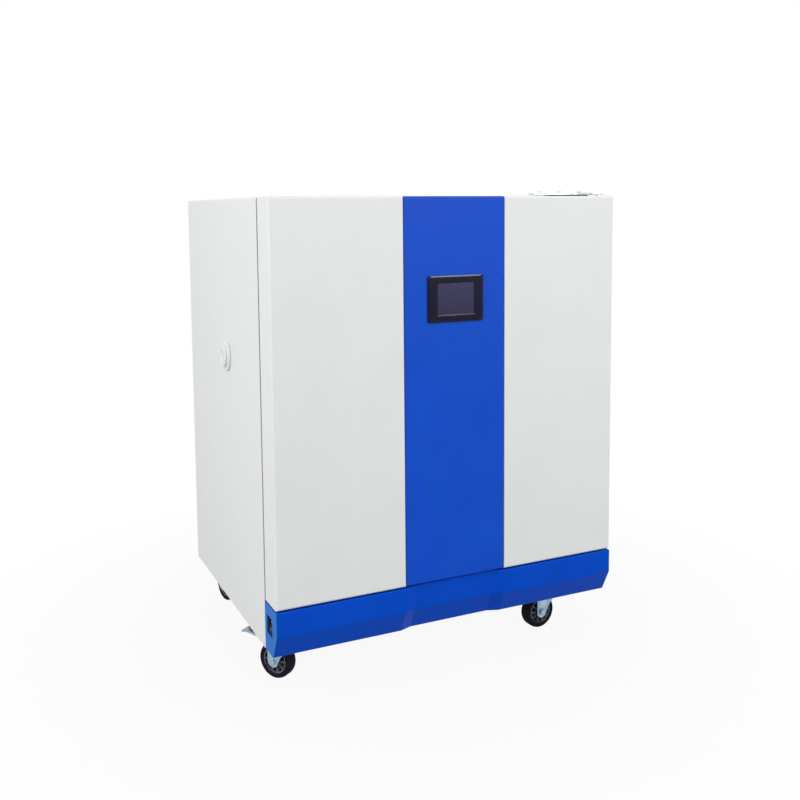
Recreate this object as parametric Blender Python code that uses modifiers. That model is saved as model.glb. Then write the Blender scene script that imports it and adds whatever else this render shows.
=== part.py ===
"""Floor-standing shaking incubator on casters, as an assembly of separate pieces.

Run with blender --background --python part.py, or from the text editor.
Metres, +Z up. The door faces -Y and opens about its right edge. The origin is on
the floor, under the middle of the whole object.
"""

import math

import bmesh
import bpy
from mathutils import Matrix, Vector

# Clearances
FIT = 0.0003            # between faces that seat on each other
RUNNING = 0.0003        # between a shaft and its bore, in radius

# Casing
WIDTH = 0.755
BODY_HEIGHT = 0.860     # from the skirt's underside to the casing's top
CASE_DEPTH = 0.553
SHEET = 0.002
CASE_RADIUS = 0.004
WALL = 0.055            # casing side to chamber, insulation included
REAR_SLOTS = 7
REAR_SLOT = (0.060, 0.006)
REAR_SLOT_PITCH = 0.014
REAR_SLOT_RISE = 0.075  # first slot above the casing's bottom edge
REAR_SLOT_OUT = 0.036   # a slot's middle from the cover's middle
MOUTH_RADIUS = 0.006    # corners of the chamber and of the front frame's mouth

# Door
DOOR_THICK = 0.063
DOOR_GAP = 0.008        # filled by the gasket
DOOR_FOOT_GAP = 0.003   # above the skirt
DOOR_SKIN = 0.0018
DOOR_RADIUS = 0.005
PANEL_DEPTH = 0.020     # of the front panels, before the insulated core
STRIPE_WIDTH = 0.224
STRIPE_SETBACK = 0.0015
PANEL_JOINT = 0.0012    # gap at each side of the stripe
GASKET_INSET = 0.022
GASKET_WIDTH = 0.024
GASKET_RADIUS = 0.012
LINER_INSET = 0.062
LINER_PLUG = 0.014      # how far it stands behind the door's back
LINER_RADIUS = 0.010

# Touch screen on the stripe
BEZEL_WIDTH, BEZEL_HEIGHT = 0.122, 0.091
BEZEL_DROP = 0.199      # its middle below the door's top
BEZEL_PROUD = 0.004
BEZEL_BODY = 0.016      # behind the stripe's face
BEZEL_LIP = 0.006       # over the stripe, round the window
BEZEL_RADIUS = 0.004
SCREEN_WIDTH, SCREEN_HEIGHT = 0.080, 0.061
SCREEN_SINK = 0.0012
SCREEN_SEAT = 0.002     # depth of the seat behind the glass's face

# Door hinges
HINGE_INSET = 0.022     # pin from the door's right side
HINGE_BACK = 0.024      # pin behind the door's front
PIN_RADIUS = 0.005
PIN_DEPTH = 0.022       # of each pin in the door
PIN_END_ROOM = 0.002
PIN_COLLAR = 0.003      # of a pin's head or shoulder beyond the pin
BRACKET_LENGTH = 0.142
BRACKET_THICK = 0.005
BRACKET_LIFT = 0.003    # of the top bracket above the casing
BRACKET_REACH = 0.034   # over the casing, behind the casing's front edge
BRACKET_EDGE = 0.004    # from the casing's right side and front edge
BRACKET_ARM = 0.020     # arm's left side from the pin
BRACKET_NOSE = 0.012    # arm's front end from the pin
BRACKET_CORNER = (0.004, 0.006)
BRACKET_FOOT_RADIUS = 0.008
BRACKET_FOOT_INSET = 0.020
BRACKET_SCREW_RADIUS, BRACKET_SCREW_HEAD = 0.0055, 0.003
PIN_HEAD = 0.002        # of the top pin above its bracket
LOWER_BRACKET_DROP = 0.008      # below the skirt's top
LOWER_BRACKET_LEG = 0.045
LOWER_BRACKET_FRONT = 0.010     # behind the door's front
LOWER_BRACKET_LEFT, LOWER_BRACKET_RIGHT = 0.030, 0.016  # from the pin

# Skirt
SKIRT_HEIGHT = 0.095
SKIRT_WALL = 0.0025
CREASE_HEIGHT = 0.047   # the chamfer starts this far above its bottom
CHAMFER = 0.024
RECESS_OUTER, RECESS_INNER = 0.224, 0.176
RECESS_DEPTH = 0.009
SKIRT_PIN_ROOM = 0.004

# Mains switch in the skirt's left end
SWITCH_WIDTH, SWITCH_HEIGHT = 0.032, 0.036
SWITCH_BACK = 0.042     # its middle behind the front
SWITCH_RISE = 0.055     # its middle above the skirt's bottom
SWITCH_SINK = 0.003
SWITCH_DEPTH = 0.022
ROCKER_WIDTH, ROCKER_HEIGHT = 0.018, 0.026
ROCKER_END_GAP = 0.0015
ROCKER_TILT = math.radians(9)
ROCKER_AXIS_BACK = 0.007    # behind the body's face
ROCKER_PIVOT_RADIUS = 0.0018
ROCKER_PIVOT_END = 0.002    # of the pivot beyond each side of the rocker
ROCKER_ENDS, ROCKER_WAIST = 0.0062, 0.0052  # its face before its axis
ROCKER_EDGE = 0.0010
ROCKER_KEEL = 0.0042
SWITCH_POCKET = 0.014

# Access port in the left side
PORT_BACK = 0.303       # its middle behind the door's front
PORT_DROP = 0.325       # its middle below the top
PORT_FLANGE_RADIUS = 0.0315
PORT_FLANGE_PROUD = 0.006
PORT_FLANGE_EDGE = 0.002
PORT_BORE_RADIUS = 0.019
PORT_TUBE_WALL = 0.004
PORT_TUBE_PROUD = 0.004     # inside the chamber
PLUG_HEAD_RADIUS = 0.023
PLUG_HEAD = 0.0045
PLUG_HEAD_EDGE = 0.002
PLUG_STEM = 0.030
PLUG_TAPER = 0.001
PORT_REACH = PORT_FLANGE_PROUD + PLUG_HEAD
PORT_SIDES = 24         # of every round face about the port's axis

# Chamber
CHAMBER_RISE = 0.185    # its floor above the casing's bottom edge
LINER = 0.0015
CHAMBER_BACK_WALL = 0.080   # liner's back to the rear
FLOOR_INSULATION = 0.032
BACK_INSULATION = 0.032
PLENUM = 0.056
SHAFT_ROOM = 0.003      # round the drive's shafts in the floor

# Base
FRAME_HEIGHT = 0.030
FRAME_RAIL = 0.030
PAN = 0.003
CROSS_RAIL = 0.090      # wide enough to carry a caster's plate

# Casters
CASTER_HEIGHT = 0.105
WHEEL_RADIUS = 0.0375
WHEEL_WIDTH = 0.025
TRAIL = 0.034
TYRE_DEPTH = 0.010
FORK_SHEET = 0.003
FORK_CLEARANCE = 0.002
FORK_END_RADIUS = 0.0125
FORK_FRONT_DROP, FORK_REAR_DROP = 0.010, 0.016  # where a leg's two edges start to taper
AXLE_RADIUS = 0.004
AXLE_END = 0.003
AXLE_NUT_RADIUS, AXLE_NUT_HEIGHT = 0.0068, 0.0045
CROWN_TOP = 0.0865
CROWN_FRONT = 0.026
CROWN_REAR, BRAKED_CROWN_REAR = 0.040, 0.047
RACE_RADIUS = 0.022
RACE_RISE = 0.003
RACE_EDGE = 0.002
RACE_FLARE = 0.003
RACE_CUP = 0.006
PLATE_SIZE = 0.062
PLATE_RADIUS = 0.008
PLATE_SHEET = 0.0027
SWIVEL_INSET = 0.0700   # from the casing's side
FRONT_SWIVEL_BACK = 0.128   # behind the door's front
REAR_SWIVEL_FORE = 0.075    # before the rear
HUB_RIBS = 10
HUB_RIB = 0.0026
HUB_RIM = 0.003
HUB_RIM_INSET = 0.0015
HUB_WEB = 0.006
HUB_BOSS_RADIUS = 0.0095
TYRE_SHOULDER = (0.0025, 0.005)
TYRE_BEAD = 0.001
WHEEL_SIDES = 24        # of the tyre and of the hub's rim
PEDAL_REACH = 0.116
PEDAL_PIN_RADIUS = 0.003
PEDAL_PIN_END = 0.005   # of the pin beyond each side of the pedal
PEDAL_PIN_OUT = 0.036   # from the swivel axis
PEDAL_PIN_HEIGHT = 0.0800
PEDAL_TEETH = 5
PEDAL_GRIP = 0.024      # length of the ribbed tip
PEDAL_TOOTH = 0.0016
PEDAL_UNDERSIDE = ((-0.004, -0.0035), (0.006, -0.0045), (0.020, -0.0035))
PEDAL_ROOT = ((0.020, 0.0012), (0.004, 0.0024), (-0.004, 0.0020))
PEDAL_KNEE = (0.0005, 0.0050)   # underside and top where the tip starts
PEDAL_TIP = (0.0045, 0.0085)    # and at its end
PEDAL_TAPER = 0.14      # slope of the tip's top
TRAIL_ANGLES = {"front_left": 125.0, "front_right": 186.0, "rear_left": 101.5, "rear_right": 62.0}

# Shaking drive
ORBIT_RADIUS = 0.013
MAIN_SHAFT_RADIUS = 0.010
IDLER_SHAFT_RADIUS = 0.008
CRANK_PIN_RADIUS = 0.007
IDLER_OUT, IDLER_BACK = 0.170, 0.070
MOTOR_OUT, MOTOR_FORE = 0.200, 0.090
MOTOR_RADIUS = 0.045
MOTOR_HEIGHT = 0.062
MOTOR_EDGE = 0.004      # chamfer round a motor's closed end
MOTOR_FLANGE = 0.009
MOTOR_CORNER = 0.008
MOTOR_CAN_INSET = 0.003
MOTOR_SHAFT_RADIUS = 0.005
MOTOR_SHAFT_REACH = 0.018   # above the drive plate
MOTOR_BORE_DEPTH = 0.020
MOTOR_HOLE_RADIUS = 0.012
MAIN_CRANK_RADIUS = 0.030
IDLER_CRANK_RADIUS = 0.024
CRANK_EDGE = 0.001
COUNTERWEIGHT_FROM, COUNTERWEIGHT_TO = 0.0223, 0.081
COUNTERWEIGHT_SINK = 0.001
DRIVEN_PULLEY_RADIUS = 0.085
MOTOR_PULLEY_RADIUS = 0.024
PULLEY_HEIGHT = 0.018
PULLEY_FLANGE = 0.002
PULLEY_HUB_WALL = 0.009
PULLEY_RIM = 0.007
PULLEY_WEB = 0.005
BELT_THICK = 0.0022
BELT_WIDTH = 0.012
BELT_SIDE_GAP = 0.001
DRIVE_PLATE = 0.006
DRIVE_PLATE_WIDTH, DRIVE_PLATE_DEPTH = 0.540, 0.290
DRIVE_PLATE_RISE = 0.066    # its top above the casing's bottom edge
DRIVE_FOOT = 0.030
PULLEY_GAP = 0.004      # under the drive plate
BEARING_HEIGHT = 0.076
BEARING_WALL = 0.018
BEARING_DRAFT = 0.003
BEARING_FLANGE = 0.008
MAIN_FLANGE_RADIUS, IDLER_FLANGE_RADIUS = 0.042, 0.034
CRANK_GAP = 0.006       # crank above the chamber's floor
CRANK_THICK = 0.010

# Platform
CARRIER_WIDTH, CARRIER_DEPTH, CARRIER_THICK = 0.440, 0.280, 0.010
CARRIER_RADIUS = 0.020
CARRIER_RIM = 0.026
CARRIER_SPINE = 0.045   # half of the bar between its two windows
CARRIER_WINDOW_BACK = 0.035     # rear edge of the windows behind its middle
CARRIER_WINDOW_RADIUS = 0.012
TRAY_SIDE_GAP = 0.0425  # at each side of the chamber, room for the orbit included
TRAY_FRONT_GAP, TRAY_REAR_GAP = 0.028, 0.0355
TRAY_LIP, TRAY_SHEET = 0.016, 0.002
TRAY_RADIUS = 0.012
CLAMP_PLATE = 0.0015
CLAMP_PLATE_INSET = 0.006   # from the tray's outside
CLAMP_PLATE_RADIUS = 0.008
CLAMP_PITCH_X, CLAMP_PITCH_Y = 0.250, 0.150
CLAMP_RADIUS = 0.050
CLAMP_HEIGHT = 0.062
CLAMP_LEG_WIDTH = 0.020
CLAMP_LEG_SHEET = 0.0015
CLAMP_LEG_SINK = 0.0008
CLAMP_BOW = 0.006
CLAMP_CURL = 0.012

# Air system
DUCT_SHEET = 0.0015
DUCT_END_GAP = 0.008    # above and below the panel
INTAKE_SLOTS = 7
INTAKE_PITCH, INTAKE_SLOT = 0.016, 0.010
INTAKE_SHARE = 0.92     # of the fan's radius that the slots cover
OUTLETS = 5
OUTLET_WIDTH, OUTLET_HEIGHT, OUTLET_PITCH = 0.080, 0.016, 0.110
LOWER_OUTLET_RISE, UPPER_OUTLET_DROP = 0.120, 0.060
FAN_DROP = 0.300        # its axis below the chamber's roof
FAN_RADIUS = 0.062
FAN_DEPTH = 0.026
FAN_GAP = 0.006         # behind the wheel
FAN_PLATE = 0.0015
FAN_HUB_RADIUS, FAN_NOSE_RADIUS = 0.014, 0.009
FAN_NOSE = 0.004        # of the hub before the blades
FAN_BLADES = 10
BLADE_FROM = 0.036
BLADE_SWEEP = 16        # degrees
BLADE_SHEET = 0.0016
BLADE_SINK = 0.0005
FAN_SHAFT_RADIUS = 0.004
FAN_SHAFT_ROOM = 0.001
FAN_SHAFT_REACH = 0.020     # behind the liner
FAN_MOTOR_RADIUS = 0.038
FAN_MOTOR_DEPTH = 0.055
HEATER_RADIUS = 0.092
HEATER_ROD = 0.004
HEATER_GAP = 24         # degrees at each side of its lowest point
PROBE_RADIUS = 0.003
PROBE_LENGTH = 0.045
PROBE_TIP = 0.002
PROBE_GLAND_RADIUS, PROBE_GLAND = 0.008, 0.006
PROBE_OUT, PROBE_DROP = 0.150, 0.150

# Electrics
CONTROL_BOX = (0.170, 0.105, 0.085)
CONTROL_BOX_LEFT, CONTROL_BOX_REAR = 0.020, 0.012   # from the casing's left side and rear
CONTROL_BOX_EDGE = 0.002
BOX_GROOVES = 5
BOX_GROOVE, BOX_GROOVE_PITCH = 0.006, 0.024
BOX_GROOVE_DEPTH = 0.001
BOX_GROOVE_INSET = 0.015
INLET_WIDTH, INLET_HEIGHT, INLET_DEPTH = 0.048, 0.028, 0.022
INLET_RISE = 0.060
INLET_INSET = 0.090     # its middle from the casing's right side
INLET_PROUD = 0.0015
INLET_WALL = 0.0045
INLET_FLANGE = 0.007    # at each side of the socket
INLET_FLOOR = 0.005
INLET_CORNER = 0.006
INLET_PIN = (0.002, 0.004)
INLET_PINS = ((-0.007, -0.002), (0.0, 0.002), (0.007, -0.002))
INLET_PIN_SINK = 0.004

# Places that follow from the sizes
DEPTH = DOOR_THICK + DOOR_GAP + CASE_DEPTH
LEFT = -WIDTH / 2 + PORT_REACH / 2
RIGHT = LEFT + WIDTH
MIDDLE = (LEFT + RIGHT) / 2
FRONT = -DEPTH / 2
REAR = DEPTH / 2
DOOR_BACK = FRONT + DOOR_THICK
CASE_FRONT = DOOR_BACK + DOOR_GAP
BASE = CASTER_HEIGHT
TOP = BASE + BODY_HEIGHT
SKIRT_TOP = BASE + SKIRT_HEIGHT
DOOR_BOTTOM = SKIRT_TOP + DOOR_FOOT_GAP
CHAMBER_LEFT, CHAMBER_RIGHT = LEFT + WALL, RIGHT - WALL
CHAMBER_FLOOR, CHAMBER_ROOF = BASE + CHAMBER_RISE, TOP - WALL
FRAME_BACK = CASE_FRONT + SHEET
CHAMBER_BACK = REAR - CHAMBER_BACK_WALL - LINER
HINGE = Vector((RIGHT - HINGE_INSET, FRONT + HINGE_BACK, 0))
SKIRT_BACK = CASE_FRONT - FIT
PORT = Vector((LEFT, FRONT + PORT_BACK, TOP - PORT_DROP))
SWITCH = Vector((LEFT, FRONT + SWITCH_BACK, BASE + SWITCH_RISE))
FAN = Vector((MIDDLE, CHAMBER_BACK, CHAMBER_ROOF - FAN_DROP))
DUCT_FACE = CHAMBER_BACK - PLENUM
TRAY_WIDTH = CHAMBER_RIGHT - CHAMBER_LEFT - 2 * TRAY_SIDE_GAP
TRAY_DEPTH = DUCT_FACE - FRAME_BACK - TRAY_FRONT_GAP - TRAY_REAR_GAP
PLATFORM = Vector((MIDDLE, FRAME_BACK + TRAY_FRONT_GAP + TRAY_DEPTH / 2, 0))
MOTOR = PLATFORM + Vector((MOTOR_OUT, -MOTOR_FORE, 0))
PLATE_TOP = BASE + DRIVE_PLATE_RISE
PLATE_UNDER = PLATE_TOP - DRIVE_PLATE
PULLEY_TOP = PLATE_UNDER - PULLEY_GAP
PULLEY_BOTTOM = PULLEY_TOP - PULLEY_HEIGHT
PULLEY_MIDDLE = PULLEY_TOP - PULLEY_HEIGHT / 2
CRANK_BOTTOM = CHAMBER_FLOOR + CRANK_GAP
CRANK_TOP = CRANK_BOTTOM + CRANK_THICK
CARRIER_BOTTOM = CRANK_TOP + FIT
CARRIER_TOP = CARRIER_BOTTOM + CARRIER_THICK
TRAY_BOTTOM = CARRIER_TOP + FIT
CLAMP_BOTTOM = TRAY_BOTTOM + TRAY_SHEET + FIT
CRANK_OFFSET = Vector((ORBIT_RADIUS, 0, 0))

PARTS = bpy.data.collections.new("shaking_incubator")
HELPERS = bpy.data.collections.new("helpers")

# Local axes of a flat outline: its x and y, and the direction it is thickened in
PLANES = {
    "Z": Matrix.Identity(4),
    "Y": Matrix(((1, 0, 0, 0), (0, 0, -1, 0), (0, 1, 0, 0), (0, 0, 0, 1))),
    "X": Matrix(((0, 0, 1, 0), (1, 0, 0, 0), (0, 1, 0, 0), (0, 0, 0, 1))),
}


def start_scene():
    for old in list(bpy.data.objects):
        bpy.data.objects.remove(old)
    bpy.context.scene.collection.children.link(PARTS)
    bpy.context.scene.collection.children.link(HELPERS)


def paint(obj, name, colour, roughness, metallic=0.0):
    """Gives the object the named material, made on its first use."""
    finish = bpy.data.materials.get(name)
    if finish is None:
        finish = bpy.data.materials.new(name)
        finish.use_nodes = True
        finish.diffuse_color = (*colour, 1)
        shader = finish.node_tree.nodes["Principled BSDF"]
        shader.inputs["Base Color"].default_value = (*colour, 1)
        shader.inputs["Roughness"].default_value = roughness
        shader.inputs["Metallic"].default_value = metallic
    obj.data.materials.clear()
    obj.data.materials.append(finish)
    return obj


def white_coat(obj):
    return paint(obj, "white_coat", (0.78, 0.80, 0.78), 0.45)


def blue_coat(obj):
    return paint(obj, "blue_coat", (0.010, 0.085, 0.55), 0.40)


def stainless(obj):
    return paint(obj, "stainless", (0.62, 0.63, 0.64), 0.30, 1.0)


def zinc(obj):
    return paint(obj, "zinc", (0.66, 0.70, 0.70), 0.35, 1.0)


def steel(obj):
    return paint(obj, "steel", (0.45, 0.46, 0.48), 0.35, 1.0)


def aluminium(obj):
    return paint(obj, "aluminium", (0.72, 0.73, 0.75), 0.40, 1.0)


def black_plastic(obj):
    return paint(obj, "black_plastic", (0.018, 0.016, 0.028), 0.35)


def black_metal(obj):
    return paint(obj, "black_metal", (0.020, 0.020, 0.022), 0.50, 0.3)


def grey_plastic(obj):
    return paint(obj, "grey_plastic", (0.42, 0.43, 0.44), 0.55)


def rubber(obj):
    return paint(obj, "rubber", (0.030, 0.026, 0.034), 0.75)


def white_rubber(obj):
    return paint(obj, "white_rubber", (0.72, 0.74, 0.72), 0.60)


def foam(obj):
    return paint(obj, "foam", (0.80, 0.72, 0.48), 0.90)


def add_object(name, mesh, smooth=False):
    if smooth:
        mesh.shade_smooth()
        mesh.set_sharp_from_angle(angle=math.radians(35))
    obj = bpy.data.objects.new(name, mesh)
    PARTS.objects.link(obj)
    return obj


def closed_mesh(name, bm, matrix=None):
    """The bmesh as a mesh with its points merged and its faces pointing out."""
    bmesh.ops.remove_doubles(bm, verts=bm.verts, dist=1e-6)
    bmesh.ops.recalc_face_normals(bm, faces=bm.faces)
    mesh = bpy.data.meshes.new(name)
    bm.to_mesh(mesh)
    bm.free()
    if matrix is not None:
        mesh.transform(matrix)
    return mesh


def box(name, low, high):
    low, high = Vector(low), Vector(high)
    placed = Matrix.Translation((low + high) / 2) @ Matrix.Diagonal((*(high - low), 1))
    bm = bmesh.new()
    bmesh.ops.create_cube(bm, size=1, matrix=placed)
    return add_object(name, closed_mesh(name, bm))


def cylinder(name, centre, radius, length, along="Z", sides=24):
    bm = bmesh.new()
    bmesh.ops.create_cone(
        bm, cap_ends=True, segments=sides, radius1=radius, radius2=radius, depth=length
    )
    placed = Matrix.Translation(centre) @ PLANES[along]
    return add_object(name, closed_mesh(name, bm, placed), smooth=True)


def arc(centre_x, centre_y, radius, first, last, steps):
    """Points on an arc, its angles in degrees."""
    turn = (last - first) / steps
    angles = [math.radians(first + turn * step) for step in range(steps + 1)]
    return [(centre_x + radius * math.cos(a), centre_y + radius * math.sin(a)) for a in angles]


def circle(centre_x, centre_y, radius, sides=24):
    return arc(centre_x, centre_y, radius, 0, 360, sides)[:-1]


def rectangle(x0, y0, x1, y1, radius=0.0, steps=3):
    """A rectangle's outline, with rounded corners where a radius is given."""
    if not radius:
        return [(x0, y0), (x1, y0), (x1, y1), (x0, y1)]
    corners = (
        (x1 - radius, y0 + radius, -90),
        (x1 - radius, y1 - radius, 0),
        (x0 + radius, y1 - radius, 90),
        (x0 + radius, y0 + radius, 180),
    )
    return [p for x, y, first in corners for p in arc(x, y, radius, first, first + 90, steps)]


def plate(name, outlines, along, start, end):
    """Flat outlines, the first outside and the others holes, thickened from start to end.

    Along Z an outline gives X and Y, along Y it gives X and Z, along X it gives Y and Z.
    """
    curve = bpy.data.curves.new(name, "CURVE")
    curve.dimensions = "2D"
    curve.fill_mode = "BOTH"
    curve.extrude = abs(end - start) / 2
    for outline in outlines:
        spline = curve.splines.new("POLY")
        spline.points.add(len(outline) - 1)
        for point, (x, y) in zip(spline.points, outline):
            point.co = (x, y, 0, 1)
        spline.use_cyclic_u = True
    middle = {"X": (1, 0, 0), "Y": (0, 1, 0), "Z": (0, 0, 1)}[along]
    placed = Matrix.Translation(Vector(middle) * (start + end) / 2) @ PLANES[along]
    drawn = bpy.data.objects.new(name, curve)
    mesh = bpy.data.meshes.new_from_object(drawn)
    bpy.data.objects.remove(drawn)
    bm = bmesh.new()
    bm.from_mesh(mesh)
    return add_object(name, closed_mesh(name, bm, placed))


def turned(name, profile, centre, along="Z", sides=24):
    """A profile of (radius, height) points, closed on itself or on its axis, spun about the axis."""
    mesh = bpy.data.meshes.new(name)
    points = [(radius, 0, height) for radius, height in profile]
    ring = profile[0][0] > 0
    edges = [(i, i + 1) for i in range(len(points) - 1)] + ([(len(points) - 1, 0)] if ring else [])
    mesh.from_pydata(points, edges, [])
    drawn = bpy.data.objects.new(name, mesh)
    PARTS.objects.link(drawn)
    spin = drawn.modifiers.new("spin", "SCREW")
    spin.steps = spin.render_steps = sides
    spin.use_merge_vertices = True
    spin.merge_threshold = 1e-5
    bm = bmesh.new()
    bm.from_mesh(evaluated_mesh(drawn))
    bpy.data.objects.remove(drawn)
    placed = Matrix.Translation(centre) @ PLANES[along]
    return add_object(name, closed_mesh(name, bm, placed), smooth=True)


def loft(name, sections, smooth=False):
    """Skins sections of equally many points, and closes the first and the last."""
    bm = bmesh.new()
    rings = [[bm.verts.new(point) for point in section] for section in sections]
    count = len(rings[0])
    for near, far in zip(rings, rings[1:]):
        for i in range(count):
            j = (i + 1) % count
            bm.faces.new((near[i], near[j], far[j], far[i]))
    bm.faces.new(rings[0])
    bm.faces.new(rings[-1])
    return add_object(name, closed_mesh(name, bm), smooth)


def evaluated_mesh(obj):
    bpy.context.view_layer.update()
    graph = bpy.context.evaluated_depsgraph_get()
    return bpy.data.meshes.new_from_object(obj.evaluated_get(graph))


def combine(body, tool, operation):
    """A live Boolean on the body. The tool stays as a hidden helper."""
    modifier = body.modifiers.new(tool.name, "BOOLEAN")
    modifier.operation = operation
    modifier.object = tool
    modifier.solver = "EXACT"
    PARTS.objects.unlink(tool)
    HELPERS.objects.link(tool)
    tool.hide_render = True
    tool.display_type = "WIRE"
    return body


def cut(body, *tools):
    for tool in tools:
        combine(body, tool, "DIFFERENCE")
    return body


def join(body, *tools):
    for tool in tools:
        combine(body, tool, "UNION")
    return body


def soften(obj, width, segments=2, angle=30):
    bevel = obj.modifiers.new("soft_edges", "BEVEL")
    bevel.width = width
    bevel.segments = segments
    bevel.limit_method = "ANGLE"
    bevel.angle_limit = math.radians(angle)
    return obj


def baked(obj):
    """The finished mesh of an object that stands for several copies. The object goes."""
    mesh = evaluated_mesh(obj)
    for modifier in obj.modifiers:
        if modifier.type == "BOOLEAN" and modifier.object:
            bpy.data.objects.remove(modifier.object)
    bpy.data.objects.remove(obj)
    mesh.shade_smooth()
    mesh.set_sharp_from_angle(angle=math.radians(35))
    return mesh


def empty(name, place, parent=None, turn=0.0):
    pivot = bpy.data.objects.new(name, None)
    pivot.empty_display_size = 0.03
    pivot.location = place
    pivot.rotation_euler[2] = turn
    pivot.parent = parent
    PARTS.objects.link(pivot)
    return pivot


def hang(pivot, place, *pieces):
    """Puts pieces built in place on a pivot at that place, so that they turn with it."""
    for piece in pieces:
        helpers = [m.object for m in piece.modifiers if m.type == "BOOLEAN"]
        for obj in (piece, *helpers):
            obj.data.transform(Matrix.Translation(-Vector(place)))
            obj.parent = pivot


def make_casing():
    """A folded sheet over the left side, the top and the right side, open at front and rear."""
    inner = CASE_RADIUS - SHEET
    outline = [(LEFT, BASE)]
    outline += arc(LEFT + CASE_RADIUS, TOP - CASE_RADIUS, CASE_RADIUS, 180, 90, 4)
    outline += arc(RIGHT - CASE_RADIUS, TOP - CASE_RADIUS, CASE_RADIUS, 90, 0, 4)
    outline += [(RIGHT, BASE), (RIGHT - SHEET, BASE)]
    outline += arc(RIGHT - CASE_RADIUS, TOP - CASE_RADIUS, inner, 0, 90, 3)
    outline += arc(LEFT + CASE_RADIUS, TOP - CASE_RADIUS, inner, 90, 180, 3)
    outline += [(LEFT + SHEET, BASE)]
    casing = plate("outer_casing", [outline], "Y", CASE_FRONT, REAR)
    tube_radius = PORT_BORE_RADIUS + PORT_TUBE_WALL
    hole = cylinder("casing_port_hole", PORT, tube_radius + FIT, 6 * SHEET, "X", PORT_SIDES)
    return white_coat(cut(casing, hole))


def case_fitting_outline():
    """The outline of a sheet that fills the casing's mouth, rounded to pass its folds."""
    inset = SHEET + FIT
    return rectangle(LEFT + inset, BASE, RIGHT - inset, TOP - inset, CASE_RADIUS - SHEET)


def make_rear_cover():
    """A flat cover with vent slots for the drive bay and a cut-out for the mains inlet."""
    outline = case_fitting_outline()
    length, height = REAR_SLOT
    holes = []
    for row in range(REAR_SLOTS):
        low = BASE + REAR_SLOT_RISE + row * REAR_SLOT_PITCH
        for side in (-1, 1):
            middle = MIDDLE + side * REAR_SLOT_OUT
            holes.append(rectangle(middle - length / 2, low, middle + length / 2, low + height))
    x, z = inlet_place()
    half_width, half_height = INLET_WIDTH / 2 + FIT, INLET_HEIGHT / 2 + FIT
    holes.append(rectangle(x - half_width, z - half_height, x + half_width, z + half_height))
    return white_coat(plate("rear_cover", [outline, *holes], "Y", REAR - SHEET, REAR))


def make_front_frame():
    """The sheet that the gasket seals on. It also closes the drive bay behind the skirt."""
    outline = case_fitting_outline()
    mouth = rectangle(CHAMBER_LEFT, CHAMBER_FLOOR, CHAMBER_RIGHT, CHAMBER_ROOF, MOUTH_RADIUS)
    return white_coat(plate("front_frame", [outline, mouth], "Y", CASE_FRONT, FRAME_BACK))


def make_base_frame():
    """A welded base: rails round a pan, with two wide cross rails that the casters bolt to."""
    left, right = LEFT + SHEET + FIT, RIGHT - SHEET - FIT
    front, rear = FRAME_BACK + FIT, REAR - SHEET - FIT
    frame = box("base_frame", (left, front, BASE), (right, rear, BASE + FRAME_HEIGHT))
    start, end = front + CROSS_RAIL, rear - CROSS_RAIL
    middle = (start + end) / 2
    for name, y0, y1 in (
        ("front_pocket", start, middle - FRAME_RAIL / 2),
        ("rear_pocket", middle + FRAME_RAIL / 2, end),
    ):
        low = (left + FRAME_RAIL, y0, BASE + PAN)
        high = (right - FRAME_RAIL, y1, BASE + 2 * FRAME_HEIGHT)
        cut(frame, box(name, low, high))
    return steel(frame)


def make_liner():
    """The stainless chamber, open at the front, with holes for the port, the shafts and the fan."""
    low = (CHAMBER_LEFT - LINER, FRAME_BACK + FIT, CHAMBER_FLOOR - LINER)
    high = (CHAMBER_RIGHT + LINER, CHAMBER_BACK + LINER, CHAMBER_ROOF + LINER)
    liner = box("chamber_liner", low, high)
    inside = box(
        "chamber_inside",
        (CHAMBER_LEFT, FRAME_BACK - LINER, CHAMBER_FLOOR),
        (CHAMBER_RIGHT, CHAMBER_BACK, CHAMBER_ROOF),
    )
    soften(inside, MOUTH_RADIUS, 1)
    cut(liner, inside)
    wall_holes(liner, "liner", 8 * LINER)
    tube_radius = PORT_BORE_RADIUS + PORT_TUBE_WALL
    port = PORT + Vector((WALL, 0, 0))
    cut(liner, cylinder("liner_port_hole", port, tube_radius + FIT, 8 * LINER, "X", PORT_SIDES))
    fan = Vector((FAN.x, CHAMBER_BACK, FAN.z))
    cut(liner, cylinder("liner_fan_hole", fan, FAN_SHAFT_RADIUS + FAN_SHAFT_ROOM, 8 * LINER, "Y", 12))
    return stainless(liner)


def shaft_places():
    """Name, axis and shaft radius of the main crank and its two idlers."""
    return (
        ("main", PLATFORM, MAIN_SHAFT_RADIUS),
        ("left_idler", PLATFORM + Vector((-IDLER_OUT, IDLER_BACK, 0)), IDLER_SHAFT_RADIUS),
        ("right_idler", PLATFORM + Vector((IDLER_OUT, IDLER_BACK, 0)), IDLER_SHAFT_RADIUS),
    )


def wall_holes(piece, label, length):
    """Clearance holes for the three shafts through a floor that lies at the chamber's."""
    for name, axis, radius in shaft_places():
        centre = (axis.x, axis.y, CHAMBER_FLOOR - length / 4)
        cut(piece, cylinder(f"{label}_{name}_hole", centre, radius + SHAFT_ROOM, length, "Z", 10))


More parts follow.
